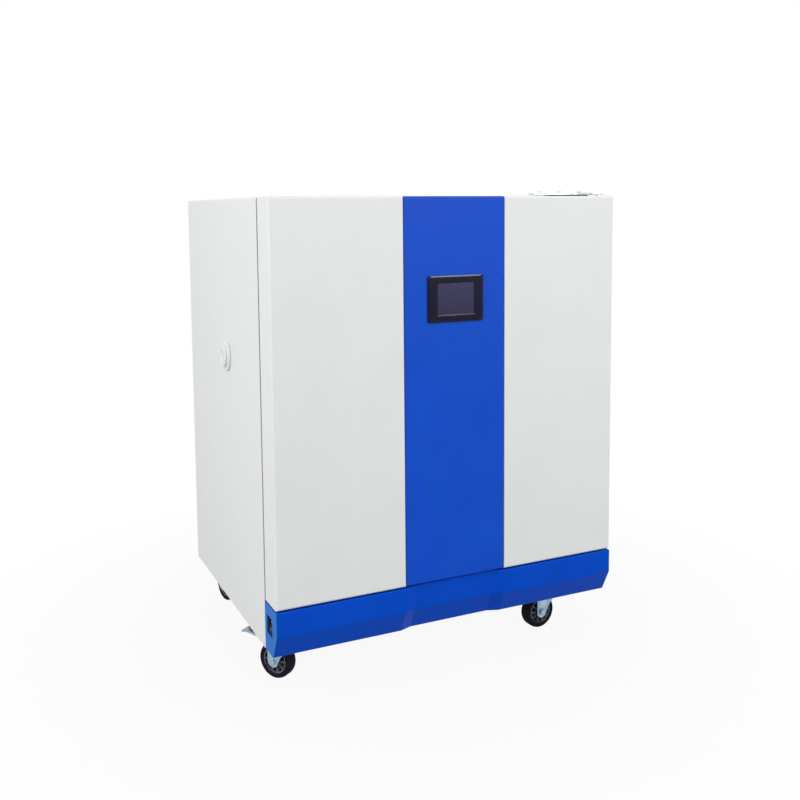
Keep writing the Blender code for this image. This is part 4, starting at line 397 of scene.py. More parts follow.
WHITE = coated("white_powder_coat", WHITE_LOW, WHITE_HIGH, 0.30)
BLUE = coated("blue_powder_coat", BLUE_LOW, BLUE_HIGH, STRIPE_GLOSS)
SKIRT_BLUE = worn_blue("blue_powder_coat_scuffed")
# The skirt's end caps in a lighter, greener blue than the skirt: painted sheen, for the glancing light on
# its ends
PAINTED_SHEEN_BLUE = coated("blue_end_cap_painted_sheen", (26, 104, 190), (30, 109, 196), SKIRT_GLOSS)
STEEL_TONES = (186, 188, 190), (214, 216, 217)
STEEL_X = brushed("brushed_stainless_across", *STEEL_TONES, "X")
STEEL_Z = brushed("brushed_stainless_upright", *STEEL_TONES, "Z")
ZINC = zinc_plated("zinc_plate", (124, 152, 172), (176, 194, 206), (182, 184, 174))
PALE_ZINC = zinc_plated("pale_zinc_plate", (222, 228, 230), (242, 244, 243), (236, 232, 216))
SHAFT_STEEL = machined("machined_steel", (132, 134, 138), (178, 180, 184), 0.30)
MILLED = machined("milled_aluminium", (182, 184, 187), (214, 216, 218), 0.34)
CAST = cast("cast_aluminium", (150, 152, 156), (206, 208, 210))
BLACK_PLASTIC = moulded("black_plastic", (14, 14, 28), (24, 24, 40), 0.42, 0.10)
# The hub's ribs in grey over its black web: painted highlight on the ribs, with the cells between them left
# in shade
PAINTED_LIT_RIB_PLASTIC = moulded("black_plastic_painted_lit_ribs", (84, 86, 98), (108, 110, 122), 0.45, 0.20)
BEZEL_PLASTIC = moulded("bezel_plastic", (8, 5, 34), (12, 8, 42), 0.16, 0.16, 0.000001)
GREY_PLASTIC = moulded("grey_plastic", (160, 163, 166), (176, 178, 181), 0.50)
BLACK_METAL = coated("black_enamel", (30, 30, 33), (42, 42, 46), 0.40, 0.0001)
HEATER_STEEL = machined("heater_sheath", (96, 92, 88), (138, 132, 126), 0.40)
BASE_STEEL = coated("grey_primer", (112, 116, 120), (132, 136, 140), 0.35, 0.00012)
TYRE = rubbery("tyre_rubber", (21, 22, 31), (31, 32, 43), (54, 54, 64), 0.06)
BELT = rubbery("belt_rubber", (24, 24, 26), (36, 36, 38), (70, 68, 66))
WHITE_RUBBER = rubbery("white_rubber", (216, 219, 216), (230, 233, 229), (206, 208, 204))
FOAM = foamed("insulation_foam", (206, 184, 128), (232, 214, 164))
SCREEN = screen_glass("screen_glass", (37, 32, 68), (46, 42, 78))

# The kept solids that have each finish
KEPT = {
    WHITE: ("rear_cover", "front_frame", "door_core"), FOAM: ("insulation",), STEEL_Z: ("chamber_liner",),
    BASE_STEEL: ("base_frame", "drive_plate"), ZINC: ("bottom_hinge_bracket",), BELT: ("drive_belt",),
    CAST: ("main_bearing", "left_idler_bearing", "right_idler_bearing"),
    SHAFT_STEEL: ("main_crankshaft", "left_idler_crank", "right_idler_crank"),
    MILLED: ("motor_pulley", "driven_pulley", "platform_carrier", "fan_wheel"),
    BLACK_METAL: ("drive_motor", "fan_motor"), STEEL_X: ("air_duct_panel", "temperature_probe"),
    HEATER_STEEL: ("heater",), GREY_PLASTIC: ("control_box",), BLACK_PLASTIC: ("mains_inlet",),
}


def arc(centre_x, centre_y, radius, first, last, steps):
    """Points on an arc, its angles in degrees."""
    turn = (last - first) / steps
    angles = [math.radians(first + turn * step) for step in range(steps + 1)]
    return [(centre_x + radius * math.cos(a), centre_y + radius * math.sin(a)) for a in angles]


def circle(centre_x, centre_y, radius, sides):
    return arc(centre_x, centre_y, radius, 0, 360, sides)[:-1]


def rectangle(low_x, low_y, high_x, high_y, radius, steps=6):
    """A rectangle's outline with rounded corners."""
    corners = (
        (high_x - radius, low_y + radius, -90),
        (high_x - radius, high_y - radius, 0),
        (low_x + radius, high_y - radius, 90),
        (low_x + radius, low_y + radius, 180),
    )
    return [p for x, y, first in corners for p in arc(x, y, radius, first, first + 90, steps)]


def eased(points, radius, steps, closed=True):
    """The outline with its corners rounded, each by at most 0.45 of its shorter side."""
    points = [Vector(point) for point in points]
    count = len(points)
    outline = []
    for i, corner in enumerate(points):
        if not closed and i in (0, count - 1):
            outline.append(tuple(corner))
            continue
        before, after = points[i - 1] - corner, points[(i + 1) % count] - corner
        reach = min(radius, 0.45 * before.length, 0.45 * after.length)
        start, end = corner + before.normalized() * reach, corner + after.normalized() * reach
        for step in range(steps + 1):
            t = step / steps
            outline.append(tuple(start * (1 - t) ** 2 + corner * 2 * t * (1 - t) + end * t**2))
    return outline


def unpacked(bm):
    """The bmesh as a mesh. The bmesh goes."""
    mesh = bpy.data.meshes.new("shape")
    bm.to_mesh(mesh)
    bm.free()
    return mesh


def mesh_from(bm):
    """The bmesh as a mesh with its points merged and its faces pointing out."""
    bmesh.ops.remove_doubles(bm, verts=bm.verts, dist=SAME)
    bmesh.ops.recalc_face_normals(bm, faces=bm.faces)
    return unpacked(bm)


def in_scene(name, data):
    """A new object, linked to the scene."""
    made = bpy.data.objects.new(name, data)
    bpy.context.scene.collection.objects.link(made)
    return made


def evaluated(obj):
    """The object's mesh with its modifiers applied. The object goes."""
    bpy.context.scene.collection.objects.link(obj)
    bpy.context.view_layer.update()
    mesh = bpy.data.meshes.new_from_object(obj.evaluated_get(bpy.context.evaluated_depsgraph_get()))
    bpy.data.objects.remove(obj)
    return mesh


def add_loop(curve, points):
    """A closed, straight-sided spline through the points."""
    spline = curve.splines.new("POLY")
    spline.points.add(len(points) - 1)
    for point, place in zip(spline.points, points):
        point.co = (*place, 1)
    spline.use_cyclic_u = True


def slab(outlines, along, start, end, edge=0.0):
    """Flat outlines, the first outside and the others holes, thickened with rounded edges.

    Along Z an outline gives X and Y, along Y it gives X and Z, along X it gives Y and Z.
    """
    curve = bpy.data.curves.new("outline", "CURVE")
    curve.dimensions = "2D"
    curve.fill_mode = "BOTH"
    curve.extrude = abs(end - start) / 2 - edge
    curve.bevel_depth = edge
    curve.bevel_resolution = 2
    curve.offset = -edge
    for outline in outlines:
        add_loop(curve, [(x, y, 0) for x, y in outline])
    axis = Vector([along == name for name in "XYZ"])
    bm = bmesh.new()
    bm.from_mesh(evaluated(bpy.data.objects.new("outline", curve)))
    mesh = mesh_from(bm)
    mesh.transform(Matrix.Translation(axis * (start + end) / 2) @ PLANES[along])
    return mesh


def spun(profile, sides):
    """A profile of (radius, height) points, turned about Z."""
    bm = bmesh.new()
    points = [bm.verts.new((radius, 0, height)) for radius, height in profile]
    edges = [bm.edges.new(pair) for pair in zip(points, points[1:])]
    bmesh.ops.spin(bm, geom=points + edges, axis=(0, 0, 1), angle=math.tau, steps=sides, use_merge=True)
    return mesh_from(bm)


def rod(radius, start, end, sides):
    """A cylinder about Z."""
    return spun([(0, start), (radius, start), (radius, end), (0, end)], sides)


def lathed(profile, edge, steps, sides=64):
    """An open profile with its corners rounded, turned about Z."""
    return spun(eased(profile, edge, steps, closed=False), sides)


def lofted(rings, cap_start=True, cap_end=True):
    """Skins rings of equally many points, and closes the first and the last."""
    bm = bmesh.new()
    rings = [[bm.verts.new(point) for point in ring] for ring in rings]
    count = len(rings[0])
    for near, far in zip(rings, rings[1:]):
        for i in range(count):
            j = (i + 1) % count
            bm.faces.new((near[i], near[j], far[j], far[i]))
    if cap_start:
        bm.faces.new(rings[0])
    if cap_end:
        bm.faces.new(rings[-1])
    return mesh_from(bm)


def cuboid(low, high):
    """A bmesh of the box between two corners."""
    bm = bmesh.new()
    placed = Matrix.Translation((low + high) / 2) @ Matrix.Diagonal((*(high - low), 1))
    bmesh.ops.create_cube(bm, size=1, matrix=placed)
    return bm


def block(low, high, edge=0.0, segments=3):
    """A box with rounded edges."""
    bm = cuboid(Vector(low), Vector(high))
    if edge:
        bmesh.ops.bevel(bm, geom=bm.edges[:], offset=edge, segments=segments, profile=0.5, affect="EDGES")
    return mesh_from(bm)


def wire_ring(points, radius, sides=2):
    """A closed ring of round wire through the points."""
    curve = bpy.data.curves.new("route", "CURVE")
    curve.dimensions = "3D"
    curve.bevel_depth = radius
    curve.bevel_resolution = sides
    add_loop(curve, points)
    return evaluated(bpy.data.objects.new("route", curve))


def together(*parts):
    """One mesh of several, each given as a mesh or as a mesh and the matrices of its copies."""
    bm = bmesh.new()
    for part in parts:
        mesh, places = part if isinstance(part, tuple) else (part, [Matrix.Identity(4)])
        for place in places:
            copy = mesh.copy()
            copy.transform(place)
            bm.from_mesh(copy)
            bpy.data.meshes.remove(copy)
    return unpacked(bm)


def carved(mesh, *cutters):
    """The mesh with the cutters' shapes taken out."""
    body = bpy.data.objects.new("body", mesh)
    tools = []
    for cutter in cutters:
        tool = in_scene("tool", cutter)
        modifier = body.modifiers.new("cut", "BOOLEAN")
        modifier.operation = "DIFFERENCE"
        modifier.solver = "EXACT"
        modifier.object = tool
        tools.append(tool)
    result = evaluated(body)
    for tool in tools:
        bpy.data.objects.remove(tool)
    return result


def piece(name, mesh, finish, body, *nodes, angle=35):
    """Shows a mesh in its finish, riding on a body, in place of the nodes it stands for."""
    mesh.name = name
    mesh.materials.clear()
    mesh.materials.append(finish)
    mesh.shade_smooth()
    mesh.set_sharp_from_angle(angle=math.radians(angle))
    shown = in_scene(name, mesh)
    normals = shown.modifiers.new("even_shading", "WEIGHTED_NORMAL")
    normals.keep_sharp = True
    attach(shown, body)
    if nodes:
        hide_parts(*nodes)


def centre_of(node):
    """The middle of a solid's box."""
    low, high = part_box(node)
    return (low + high) / 2


def finish_solids():
    """Gives every kept solid its finish."""
    for finish, names in KEPT.items():
        for name in names:
            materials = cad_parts[name].data.materials
            materials.clear()
            materials.append(finish)


def screw_head(radius, height):
    """A pan head with a cross recess, standing on Z = 0."""
    foot, shoulder = -0.0005, height * 0.45
    profile = [(0, foot), (radius, foot), (radius, shoulder), (radius * 0.7, height), (0, height)]
    reach, slot = radius * 0.62, radius * 0.16
    arms = [block((-x, -y, shoulder), (x, y, height * 2)) for x, y in ((reach, slot), (slot, reach))]
    return carved(lathed(profile, radius * 0.25, 4, 32), *arms)


def port_axis():
    """The place of the access port, its Z pointing from the casing's face into the cabinet."""
    middle = centre_of("port_sleeve")
    return Matrix.Translation((LEFT, middle.y, middle.z)) @ PLANES["X"]


def make_casing():
    """One folded sheet over both sides and the top, with rounded folds and a hole for the port."""
    near, far, up = LEFT + CASE_RADIUS, RIGHT - CASE_RADIUS, TOP - CASE_RADIUS
    inner = CASE_RADIUS - SHEET
    outline = [(LEFT, BASE)]
    outline += arc(near, up, CASE_RADIUS, 180, 90, 8) + arc(far, up, CASE_RADIUS, 90, 0, 8)
    outline += [(RIGHT, BASE), (RIGHT - SHEET, BASE)]
    outline += arc(far, up, inner, 0, 90, 6) + arc(near, up, inner, 90, 180, 6)
    outline += [(LEFT + SHEET, BASE)]
    hole = rod(PORT_HOLE, -PORT_CUT, PORT_CUT, 48)
    hole.transform(port_axis())
    casing = carved(slab([outline], "Y", CASE_FRONT, REAR, PLATE_EDGE), hole)
    piece("casing", casing, WHITE, "cabinet", "outer_casing")


def make_cover_screws():
    """Low pan-head screws down both sides of the rear cover."""
    low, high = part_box("rear_cover")
    span = high.z - low.z - 2 * COVER_SCREW_MARGIN
    upright = Matrix.Rotation(-math.pi / 2, 4, "X")
    places = []
    for x in (low.x + COVER_SCREW_MARGIN, high.x - COVER_SCREW_MARGIN):
        for i in range(COVER_SCREWS):
            z = low.z + COVER_SCREW_MARGIN + span * (i + 0.15) / (COVER_SCREWS - 0.7)
            places.append(Matrix.Translation((x, high.y, z)) @ upright)
    screws = together((screw_head(COVER_SCREW_RADIUS, COVER_SCREW_HEIGHT), places))
    piece("rear_cover_screws", screws, ZINC, "cabinet")


def folded_sheet(bm, radius, steps, sheet):
    """A shape's skin as sheet that is thickened inwards, its weighted edges rounded."""
    skin = bpy.data.objects.new("skin", mesh_from(bm))
    bevel = skin.modifiers.new("folds", "BEVEL")
    bevel.limit_method = "WEIGHT"
    bevel.width, bevel.segments = radius, steps
    shell = skin.modifiers.new("sheet", "SOLIDIFY")
    shell.use_even_offset = True
    shell.thickness, shell.offset = sheet, -1
    return evaluated(skin)


def folded_panel(node, outer_sides):
    """A panel folded from sheet: deep at its outer sides, top and bottom, shallow beside the stripe."""
    low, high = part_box(node)
    bm = cuboid(low, high)
    fold = Vector((0, FRONT + PANEL_DEPTH, 0))
    everything = bm.verts[:] + bm.edges[:] + bm.faces[:]
    bmesh.ops.bisect_plane(bm, geom=everything, plane_co=fold, plane_no=(0, 1, 0))
    inner = [x for side, x in enumerate((low.x, high.x)) if side not in outer_sides]
    gone = []
    for face in bm.faces:
        middle = face.calc_center_median()
        at_back = abs(middle.y - high.y) < SAME
        behind_fold = middle.y > fold.y and any(abs(middle.x - x) < SAME for x in inner)
        if at_back or behind_fold:
            gone.append(face)
    bmesh.ops.delete(bm, geom=gone, context="FACES")
    weight = bm.edges.layers.float.new("bevel_weight_edge")
    for edge in bm.edges:
        a, b = (vert.co for vert in edge.verts)
        at_front = max(a.y, b.y) - low.y < SAME
        inner_side = any(max(abs(a.x - x), abs(b.x - x)) < SAME for x in inner)
        at_end = abs(a.z - b.z) < SAME and min(abs(a.z - low.z), abs(a.z - high.z)) < SAME
        if at_front:
            edge[weight] = PANEL_FOLD / PANEL_EDGE if inner_side else 1.0
        elif at_end and abs(a.x - b.x) < SAME:
            edge[weight] = PANEL_SEAM / PANEL_EDGE
    return folded_sheet(bm, PANEL_EDGE, 5, PANEL_SKIN)


def inset_ring(low, high, inset, radius, y):
    """A rounded rectangle in the door's plane, inset from a node's box."""
    outline = rectangle(low.x + inset, low.z + inset, high.x - inset, high.z - inset, radius)
    return [(x, y, z) for x, z in outline]


def make_gasket():
    """A magnetic door seal: a foot against the door, a bellows and a flat sealing face."""
    low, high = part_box("door_gasket")
    depth = high.y - low.y
    half = GASKET_PROFILE
    profile = [*half, *[(GASKET_WIDTH - across, rise) for across, rise in reversed(half)]]
    rings = [
        inset_ring(low, high, across, GASKET_RADIUS - across * 0.4, low.y + depth * rise)
        for across, rise in profile
    ]
    seal = lofted(rings + rings[:1], False, False)
    piece("door_seal", seal, WHITE_RUBBER, "door", "door_gasket", angle=60)


def make_door_liner():
    """The door's stainless pan, with rolled edges and a field pressed in for stiffness."""
    low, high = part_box("door_liner")
    shoulder = high.y - LINER_ROLL
    steps = [(0, low.y), (0, shoulder)]
    steps += [(LINER_ROLL + x, shoulder + y) for x, y in arc(0, 0, LINER_ROLL, 180, 90, 4)[1:]]
    steps += [(LINER_MARGIN + across, high.y - LINER_PRESS * share) for across, share in LINER_STEP]
    rings = [inset_ring(low, high, inset, LINER_RADIUS + inset * 0.2, y) for inset, y in steps]
    piece("door_liner_pan", lofted(rings, cap_start=False), STEEL_Z, "door", "door_liner")


def make_screen():
    """The bezel, chamfered outside and sloping in to the glass, and the glass."""
    low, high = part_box("screen_bezel")
    glass_low, glass_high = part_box("touch_screen")
    face, back = low.y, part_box("door_stripe")[0].y - FIT
    reach = glass_low - low - Vector((FIT, 0, FIT))
    slope = 1 - BEZEL_SLOPE / reach.x
    # Each step: share of the way in to the glass, and place in depth
    steps = [(0, back), (0, face + BEZEL_DROP)]
    chamfer = BEZEL_CHAMFER / reach.x
    steps += [(chamfer * share, face + BEZEL_DROP * (1 - share)) for share in (0.06, 0.94, 1.0)]
    steps += [(slope - 0.02, face), (slope, face + 0.0001), (0.99, glass_low.y - 0.0001)]
    steps += [(1.0, glass_low.y), (1.0, glass_low.y + 0.0012)]
    rings = []
    for share, y in steps:
        radius = BEZEL_RADIUS * (1 - share) + GLASS_RADIUS * share
        rings.append(inset_ring(low + reach * share, high - reach * share, 0, radius, y))
    piece("bezel", lofted(rings, cap_start=False), BEZEL_PLASTIC, "door", "screen_bezel", angle=12)
    outline = rectangle(glass_low.x, glass_low.z, glass_high.x, glass_high.z, 0.0008)
    glass = slab([outline], "Y", glass_low.y, glass_high.y, 0.0001)
    piece("screen", glass, SCREEN, "door", "touch_screen")


def make_door():
    """The door's three front panels, its seal, its liner and the touch screen."""
    panels = (("left_panel", (0,), WHITE), ("right_panel", (1,), WHITE), ("stripe", (), BLUE))
    for name, sides, finish in panels:
        piece(name, folded_panel(f"door_{name}", sides), finish, "door", f"door_{name}")
    make_gasket()
    make_door_liner()
    make_screen()


def skirt_section(x, recess):
    """The skirt's open profile at one place along X: top flange, face, chamfer, bottom flange."""
    low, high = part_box("skirt")
    face = low.y + recess
    outline = ((high.y, high.z), (face, high.z), (face, low.z + CREASE_HEIGHT), (face + CHAMFER, low.z))
    return [(x, y, z) for y, z in (*outline, (high.y, low.z))]


def make_skirt():
    """The blue fascia: folded sheet with soft edges, stepped in below the stripe."""
    low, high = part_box("skirt")
    outer, inner = RECESS_OUTER / 2, RECESS_INNER / 2
    stations = [
        (low.x + SKIRT_CAP, 0.0), (MIDDLE - outer, 0.0), (MIDDLE - inner, RECESS_DEPTH),
        (MIDDLE + inner, RECESS_DEPTH), (MIDDLE + outer, 0.0), (high.x - SKIRT_CAP, 0.0),
    ]
    bm = bmesh.new()
    rings = [[bm.verts.new(p) for p in skirt_section(x, recess)] for x, recess in stations]
    for near, far in zip(rings, rings[1:]):
        for i in range(len(near) - 1):
            bm.faces.new((near[i], far[i], far[i + 1], near[i + 1]))
    bm.faces.new(rings[0])
    bm.faces.new(rings[-1][::-1])
    bmesh.ops.recalc_face_normals(bm, faces=bm.faces)
    weight = bm.edges.layers.float.new("bevel_weight_edge")
    for edge in bm.edges:
        if len(edge.link_faces) == 2 and edge.calc_face_angle() > math.radians(8):
            edge[weight] = 1.0
    skirt = folded_sheet(bm, SKIRT_EDGE, 4, SKIRT_WALL)
    body_low, body_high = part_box("switch_body")
    opening = rectangle(
        body_low.y - FIT, body_low.z - FIT, body_high.y + FIT, body_high.z + FIT, SWITCH_RADIUS, 3
    )
    window = slab([opening], "X", low.x - 0.005, low.x + 0.010)
    hole = rod(PIN_HOLE, -PIN_CUT, PIN_CUT, 40)
    hole.transform(Matrix.Translation((*HINGE, high.z)))
    piece("skirt_panel", carved(skirt, window, hole), SKIRT_BLUE, "cabinet", "skirt")
    # The end caps take the lighter blue, which is painted sheen
    cap = eased([(y, z) for _, y, z in skirt_section(low.x, 0.0)], 0.0012, 3)
    left_cap = slab([cap, opening], "X", low.x, low.x + SKIRT_CAP, CAP_EDGE)
    right_cap = slab([cap], "X", high.x - SKIRT_CAP, high.x, CAP_EDGE)
    piece("skirt_caps", together(left_cap, right_cap), PAINTED_SHEEN_BLUE, "cabinet")


def make_switch():
    """The switch's rimmed body and its rocker, dished on both halves, with plain on and off marks."""
    low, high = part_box("switch_body")
    middle = (low + high) / 2
    outline = rectangle(low.y, low.z, high.y, high.z, SWITCH_RADIUS, 4)
    pocket = rectangle(
        middle.y - POCKET_Y, middle.z - POCKET_Z, middle.y + POCKET_Y, middle.z + POCKET_Z, 0.0008, 3
    )
    rim = slab([outline, pocket], "X", low.x, low.x + SWITCH_RIM, SWITCH_EDGE)
    back = slab([outline], "X", low.x + SWITCH_RIM, high.x, SWITCH_EDGE)
    piece("switch_housing", together(rim, back), BLACK_PLASTIC, "cabinet", "switch_body")
    half = ROCKER_HALF
    face = [(-ROCKER_PROUD, -half), (-0.0057, -half * 0.6), (-0.0052, -half * 0.25)]
    face += [(x, -z) for x, z in reversed(face)]
    profile = eased(face + [(-0.0010, half), (0.0042, 0.0), (-0.0010, -half)], 0.0006, 3)
    rocker = slab([profile], "Y", -ROCKER_WIDTH / 2, ROCKER_WIDTH / 2, 0.0005)
    off = [(-0.0060, y, half * 0.55 + z) for y, z in circle(0, 0, 0.0022, 32)]
    marks = together(
        block((-0.0063, -0.0003, -half * 0.72), (-0.0057, 0.0003, -half * 0.38)),
        wire_ring(off, 0.0003),
    )
    axis = Matrix.Translation((low.x + ROCKER_AXIS, middle.y, middle.z))
    tilt = axis @ Matrix.Rotation(math.radians(ROCKER_TILT), 4, "Y")
    rocker.transform(tilt)
    marks.transform(tilt)
    piece("rocker", rocker, BLACK_PLASTIC, "power_switch", "power_rocker")
    piece("rocker_marks", marks, WHITE_RUBBER, "power_switch")


def make_port():
    """The access port's flanged sleeve, with a stepped rim, and its stopper with a grip."""
    low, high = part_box("port_sleeve")
    plug_low, plug_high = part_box("port_plug")
    flange, bore, outside = (high.y - low.y) / 2, PORT_BORE, PORT_BORE + PORT_WALL
    proud, reach = LEFT - low.x, high.x - LEFT
    sleeve = [
        (bore, -proud), (flange - 0.006, -proud), (flange - 0.005, -proud * 0.72), (flange, -proud * 0.60),
        (flange, 0.0), (outside, 0.0), (outside, reach), (bore, reach), (bore, -proud),
    ]
    head, top, tip = (plug_high.y - plug_low.y) / 2, LEFT - plug_low.x, plug_high.x - LEFT
    seat, fitting = proud + FIT, bore - FIT
    stopper = [
        (0, -top + 0.002), (head * 0.55, -top + 0.002), (head * 0.62, -top), (head - 0.001, -top + 0.0008),
        (head, -top + 0.003), (head, -seat), (fitting, -seat), (fitting - 0.001, tip - 0.001), (0, tip),
    ]
    for name, profile, edge, finish, body, node in (
        ("port_ring", sleeve, 0.0015, WHITE, "cabinet", "port_sleeve"),
        ("port_stopper_plug", stopper, 0.0012, WHITE_RUBBER, "port_stopper", "port_plug"),
    ):
        shape = lathed(profile, edge, 4, 96)
        shape.transform(port_axis())
        piece(name, shape, finish, body, node)


def make_top_bracket():
    """The raised hinge plate on its spacers, with its screws and the upper pin, and a black strip of
    painted shadow in the gap under the plate.
    """
    low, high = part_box("top_hinge_bracket")
    front, rear = HINGE_EDGES
    under, over = TOP + HINGE_LIFT, TOP + HINGE_LIFT + HINGE_SHEET
    arm, nose = HINGE[0] - 0.020, HINGE[1] - 0.012
    corners = [(low.x, front), (arm, front), (arm, nose), (high.x, nose), (high.x, rear), (low.x, rear)]
    plate = slab([eased(corners, 0.006, 5)], "Z", under, over, PLATE_EDGE)
    profile = [
        (0, TOP - PIN_DEPTH), (PIN_RADIUS, TOP - PIN_DEPTH), (PIN_RADIUS, under), (SPACER_RADIUS, under),
        (SPACER_RADIUS, over), (SPACER_RADIUS - 0.0005, high.z - 0.0006), (0, high.z),
    ]
    pin = lathed(profile, 0.0006, 3, 48)
    first = low.x + HINGE_SCREW_INSET
    pitch = (high.x - low.x - 2 * HINGE_SCREW_INSET) / (HINGE_SCREWS - 1)
    middle = (front + rear) / 2
    spots = [Matrix.Translation((first + i * pitch, middle, 0)) for i in range(HINGE_SCREWS)]
    spacer = rod(SPACER_RADIUS, TOP + FIT, under + 0.001, 40)
    mesh = together(plate, (spacer, spots), (pin, [Matrix.Translation((*HINGE, 0))]))
    piece("hinge_plate", mesh, PALE_ZINC, "cabinet", "top_hinge_bracket")
    screws = [spot @ Matrix.Translation((0, 0, over)) for spot in spots]
    head = screw_head(HINGE_SCREW_RADIUS, HINGE_SCREW_HEIGHT)
    piece("hinge_screws", together((head, screws)), ZINC, "cabinet")
    # Painted shadow: a black strip fills the gap under the raised plate, where there is only shade
    strip = rectangle(low.x + SHADOW_STRIP_INSET, front + 0.002, high.x - 0.0045, rear - 0.002, 0.002)
    holes = [circle(*spot.translation[:2], SPACER_RADIUS + 0.0002, 40) for spot in spots[1:]]
    painted_shadow = slab([strip, *holes], "Z", TOP + FIT, under - FIT, 0.0003)
    piece("hinge_painted_shadow_strip", painted_shadow, BLACK_PLASTIC, "cabinet")


def tyre_shape(radius):
    """A solid tyre with rounded shoulders and a band of shallow pockets on each side."""
    inner, half = radius - TYRE_DEPTH, WHEEL_WIDTH / 2
    band_in, band_out = inner + 0.0024, radius - 0.0030
    side = [
        (inner, half - 0.001), (inner + 0.0008, half - 0.0002), (band_in - 0.0004, half),
        (band_in, half - TYRE_POCKET), (band_out, half - TYRE_POCKET), (band_out + 0.0004, half - 0.0004),
        (radius - 0.0012, half - 0.0016), (radius - 0.0002, half - 0.0042), (radius, half - 0.0065),
    ]
    profile = side + [(r, -y) for r, y in reversed(side)] + side[:1]
    tyre = spun(profile, 96)
    tyre.transform(PLANES["Y"])
    low = (band_in - 0.0006, 0.0003 - half, -TYRE_RIB_WIDTH / 2)
    high = (band_out + 0.0006, half - 0.0003, TYRE_RIB_WIDTH / 2)
    turns = [Matrix.Rotation(math.tau * i / TYRE_RIBS, 4, "Y") for i in range(TYRE_RIBS)]
    return together(tyre, (block(low, high, 0.0004, 2), turns))


def hub_shapes(radius):
    """The moulded wheel centre: its rim and ribs, and the web and boss between them."""
    rim, boss_half = radius - TYRE_DEPTH - FIT, WHEEL_WIDTH / 2 + FORK_CLEARANCE - FIT
    rim_inner, half_rim, half_web = rim - HUB_RIM, WHEEL_WIDTH / 2 - HUB_INSET, HUB_WEB / 2
    pitch = 360 / HUB_RIBS
    inner_gap, outer_gap = (math.degrees(HUB_RIB / 2 / r) for r in (HUB_BOSS, rim_inner))
    outlines = [circle(0, 0, rim, 96), circle(0, 0, HUB_BOSS - 0.0005, 48)]
    for i in range(HUB_RIBS):
        first, last = i * pitch, (i + 1) * pitch
        cell = arc(0, 0, rim_inner, first + outer_gap, last - outer_gap, 8)
        cell += arc(0, 0, HUB_BOSS, last - inner_gap, first + inner_gap, 4)
        outlines.append(eased(cell, 0.0006, 2))
    ribs = slab(outlines, "Y", -half_rim, half_rim, 0.0004)
    axle_hole = circle(0, 0, AXLE_RADIUS + FIT, 32)
    web = slab([circle(0, 0, rim_inner + 0.001, 96), axle_hole], "Y", -half_web, half_web)
    boss = slab([circle(0, 0, HUB_BOSS - 0.0005, 64), axle_hole], "Y", -boss_half, boss_half, 0.0005)
    return ribs, together(web, boss)


def fork_shape(wheel_radius, braked):
    """A pressed fork: a crown over two tapering legs, the swivel's lower race, the axle and its nuts."""
    inner = WHEEL_WIDTH / 2 + FORK_CLEARANCE
    outer = inner + FORK_SHEET
    rear = CROWN_REAR_BRAKED if braked else CROWN_REAR
    top = CROWN_TOP - 0.0004
    leg = [(CROWN_FRONT, top), (CROWN_FRONT, CROWN_TOP - 0.010)]
    leg += [(TRAIL - back, wheel_radius + rise) for back, rise in FORK_FLARE]
    leg += arc(TRAIL, wheel_radius, FORK_END_RADIUS, 190, 360, 16)
    leg += [(rear, CROWN_TOP - 0.016), (rear, top)]
    outlines = [leg]
    if braked:
        outlines.append(circle(PEDAL_PIN_OUT, PEDAL_PIN_HEIGHT, PEDAL_PIN_RADIUS + FIT, 24))
    legs = [slab(outlines, "Y", *sorted((side * inner, side * outer)), 0.0006) for side in (-1, 1)]
    crown = rectangle(CROWN_FRONT, -outer, rear, outer, 0.004)
    crown = slab([crown], "Z", CROWN_TOP - FORK_SHEET, CROWN_TOP, 0.0009)
    race_top, race_foot = CROWN_TOP + 0.003, CROWN_TOP - 0.001
    race = [(0, race_top), (RACE_RADIUS - 0.002, race_top), (RACE_RADIUS, race_foot), (0, race_foot)]
    race = lathed(race, 0.001, 3)
    axle = rod(AXLE_RADIUS, -outer - 0.003, outer + 0.003, 24)
    axle.transform(Matrix.Translation((TRAIL, 0, wheel_radius)) @ PLANES["Y"])
    fastened = []
    for radius, sides, sunk, proud, edge in (NUT, WASHER):
        outline = circle(TRAIL, wheel_radius, radius, sides)
        for start, end in ((outer - sunk, outer + proud), (-outer - proud, sunk - outer)):
            fastened.append(slab([outline], "Y", start, end, edge))
    return together(*legs, crown, race, axle, *fastened)


def plate_shape(low, high):
    """The bolted plate with the upper race and four bolt heads."""
    half = (high.x - low.x) / 2
    under = high.z - PLATE_SHEET
    plate = slab([rectangle(-half, -half, half, half, 0.008, 6)], "Z", under, high.z, 0.0006)
    foot, top = RACE_RADIUS + 0.003, under + 0.001
    profile = [(0, top), (RACE_RADIUS - 0.002, top), (foot, under - 0.006), (foot, low.z), (0, low.z)]
    race = lathed(profile, 0.0012, 4)
    bolt = slab([circle(0, 0, BOLT_RADIUS, 6)], "Z", under - 0.0042, under + 0.0002, 0.0004)
    spread = half - BOLT_INSET
    places = [Matrix.Translation((x, y, 0)) for x in (-spread, spread) for y in (-spread, spread)]
    return together(plate, race, (bolt, places))


def pedal_shape():
    """The brake pedal: a bent arm that widens into a ridged tip, rolled down at its end, on a pivot pin."""
    half = WHEEL_WIDTH / 2 + FORK_CLEARANCE - FIT
    steps = PEDAL_RIDGES * 6
    across = [2 * i / steps - 1 for i in range(steps + 1)]
    waves = [0.5 - 0.5 * math.cos(math.pi * PEDAL_RIDGES * (a + 1)) for a in across]
    rings = []
    for x, top, thick, share in PEDAL_SECTIONS:
        depth = PEDAL_RIDGE if x > PEDAL_SMOOTH else 0.0
        ring = [(x, a * share * half, top - depth * wave) for a, wave in zip(across, waves)]
        ring += [(x, a * share * half, top - thick) for a in reversed(across)]
        rings.append(ring)
    end = half + PEDAL_PIN_END
    pin = rod(PEDAL_PIN_RADIUS, -end, end, 32)
    pin.transform(PLANES["Y"])
    return together(lofted(rings), pin)


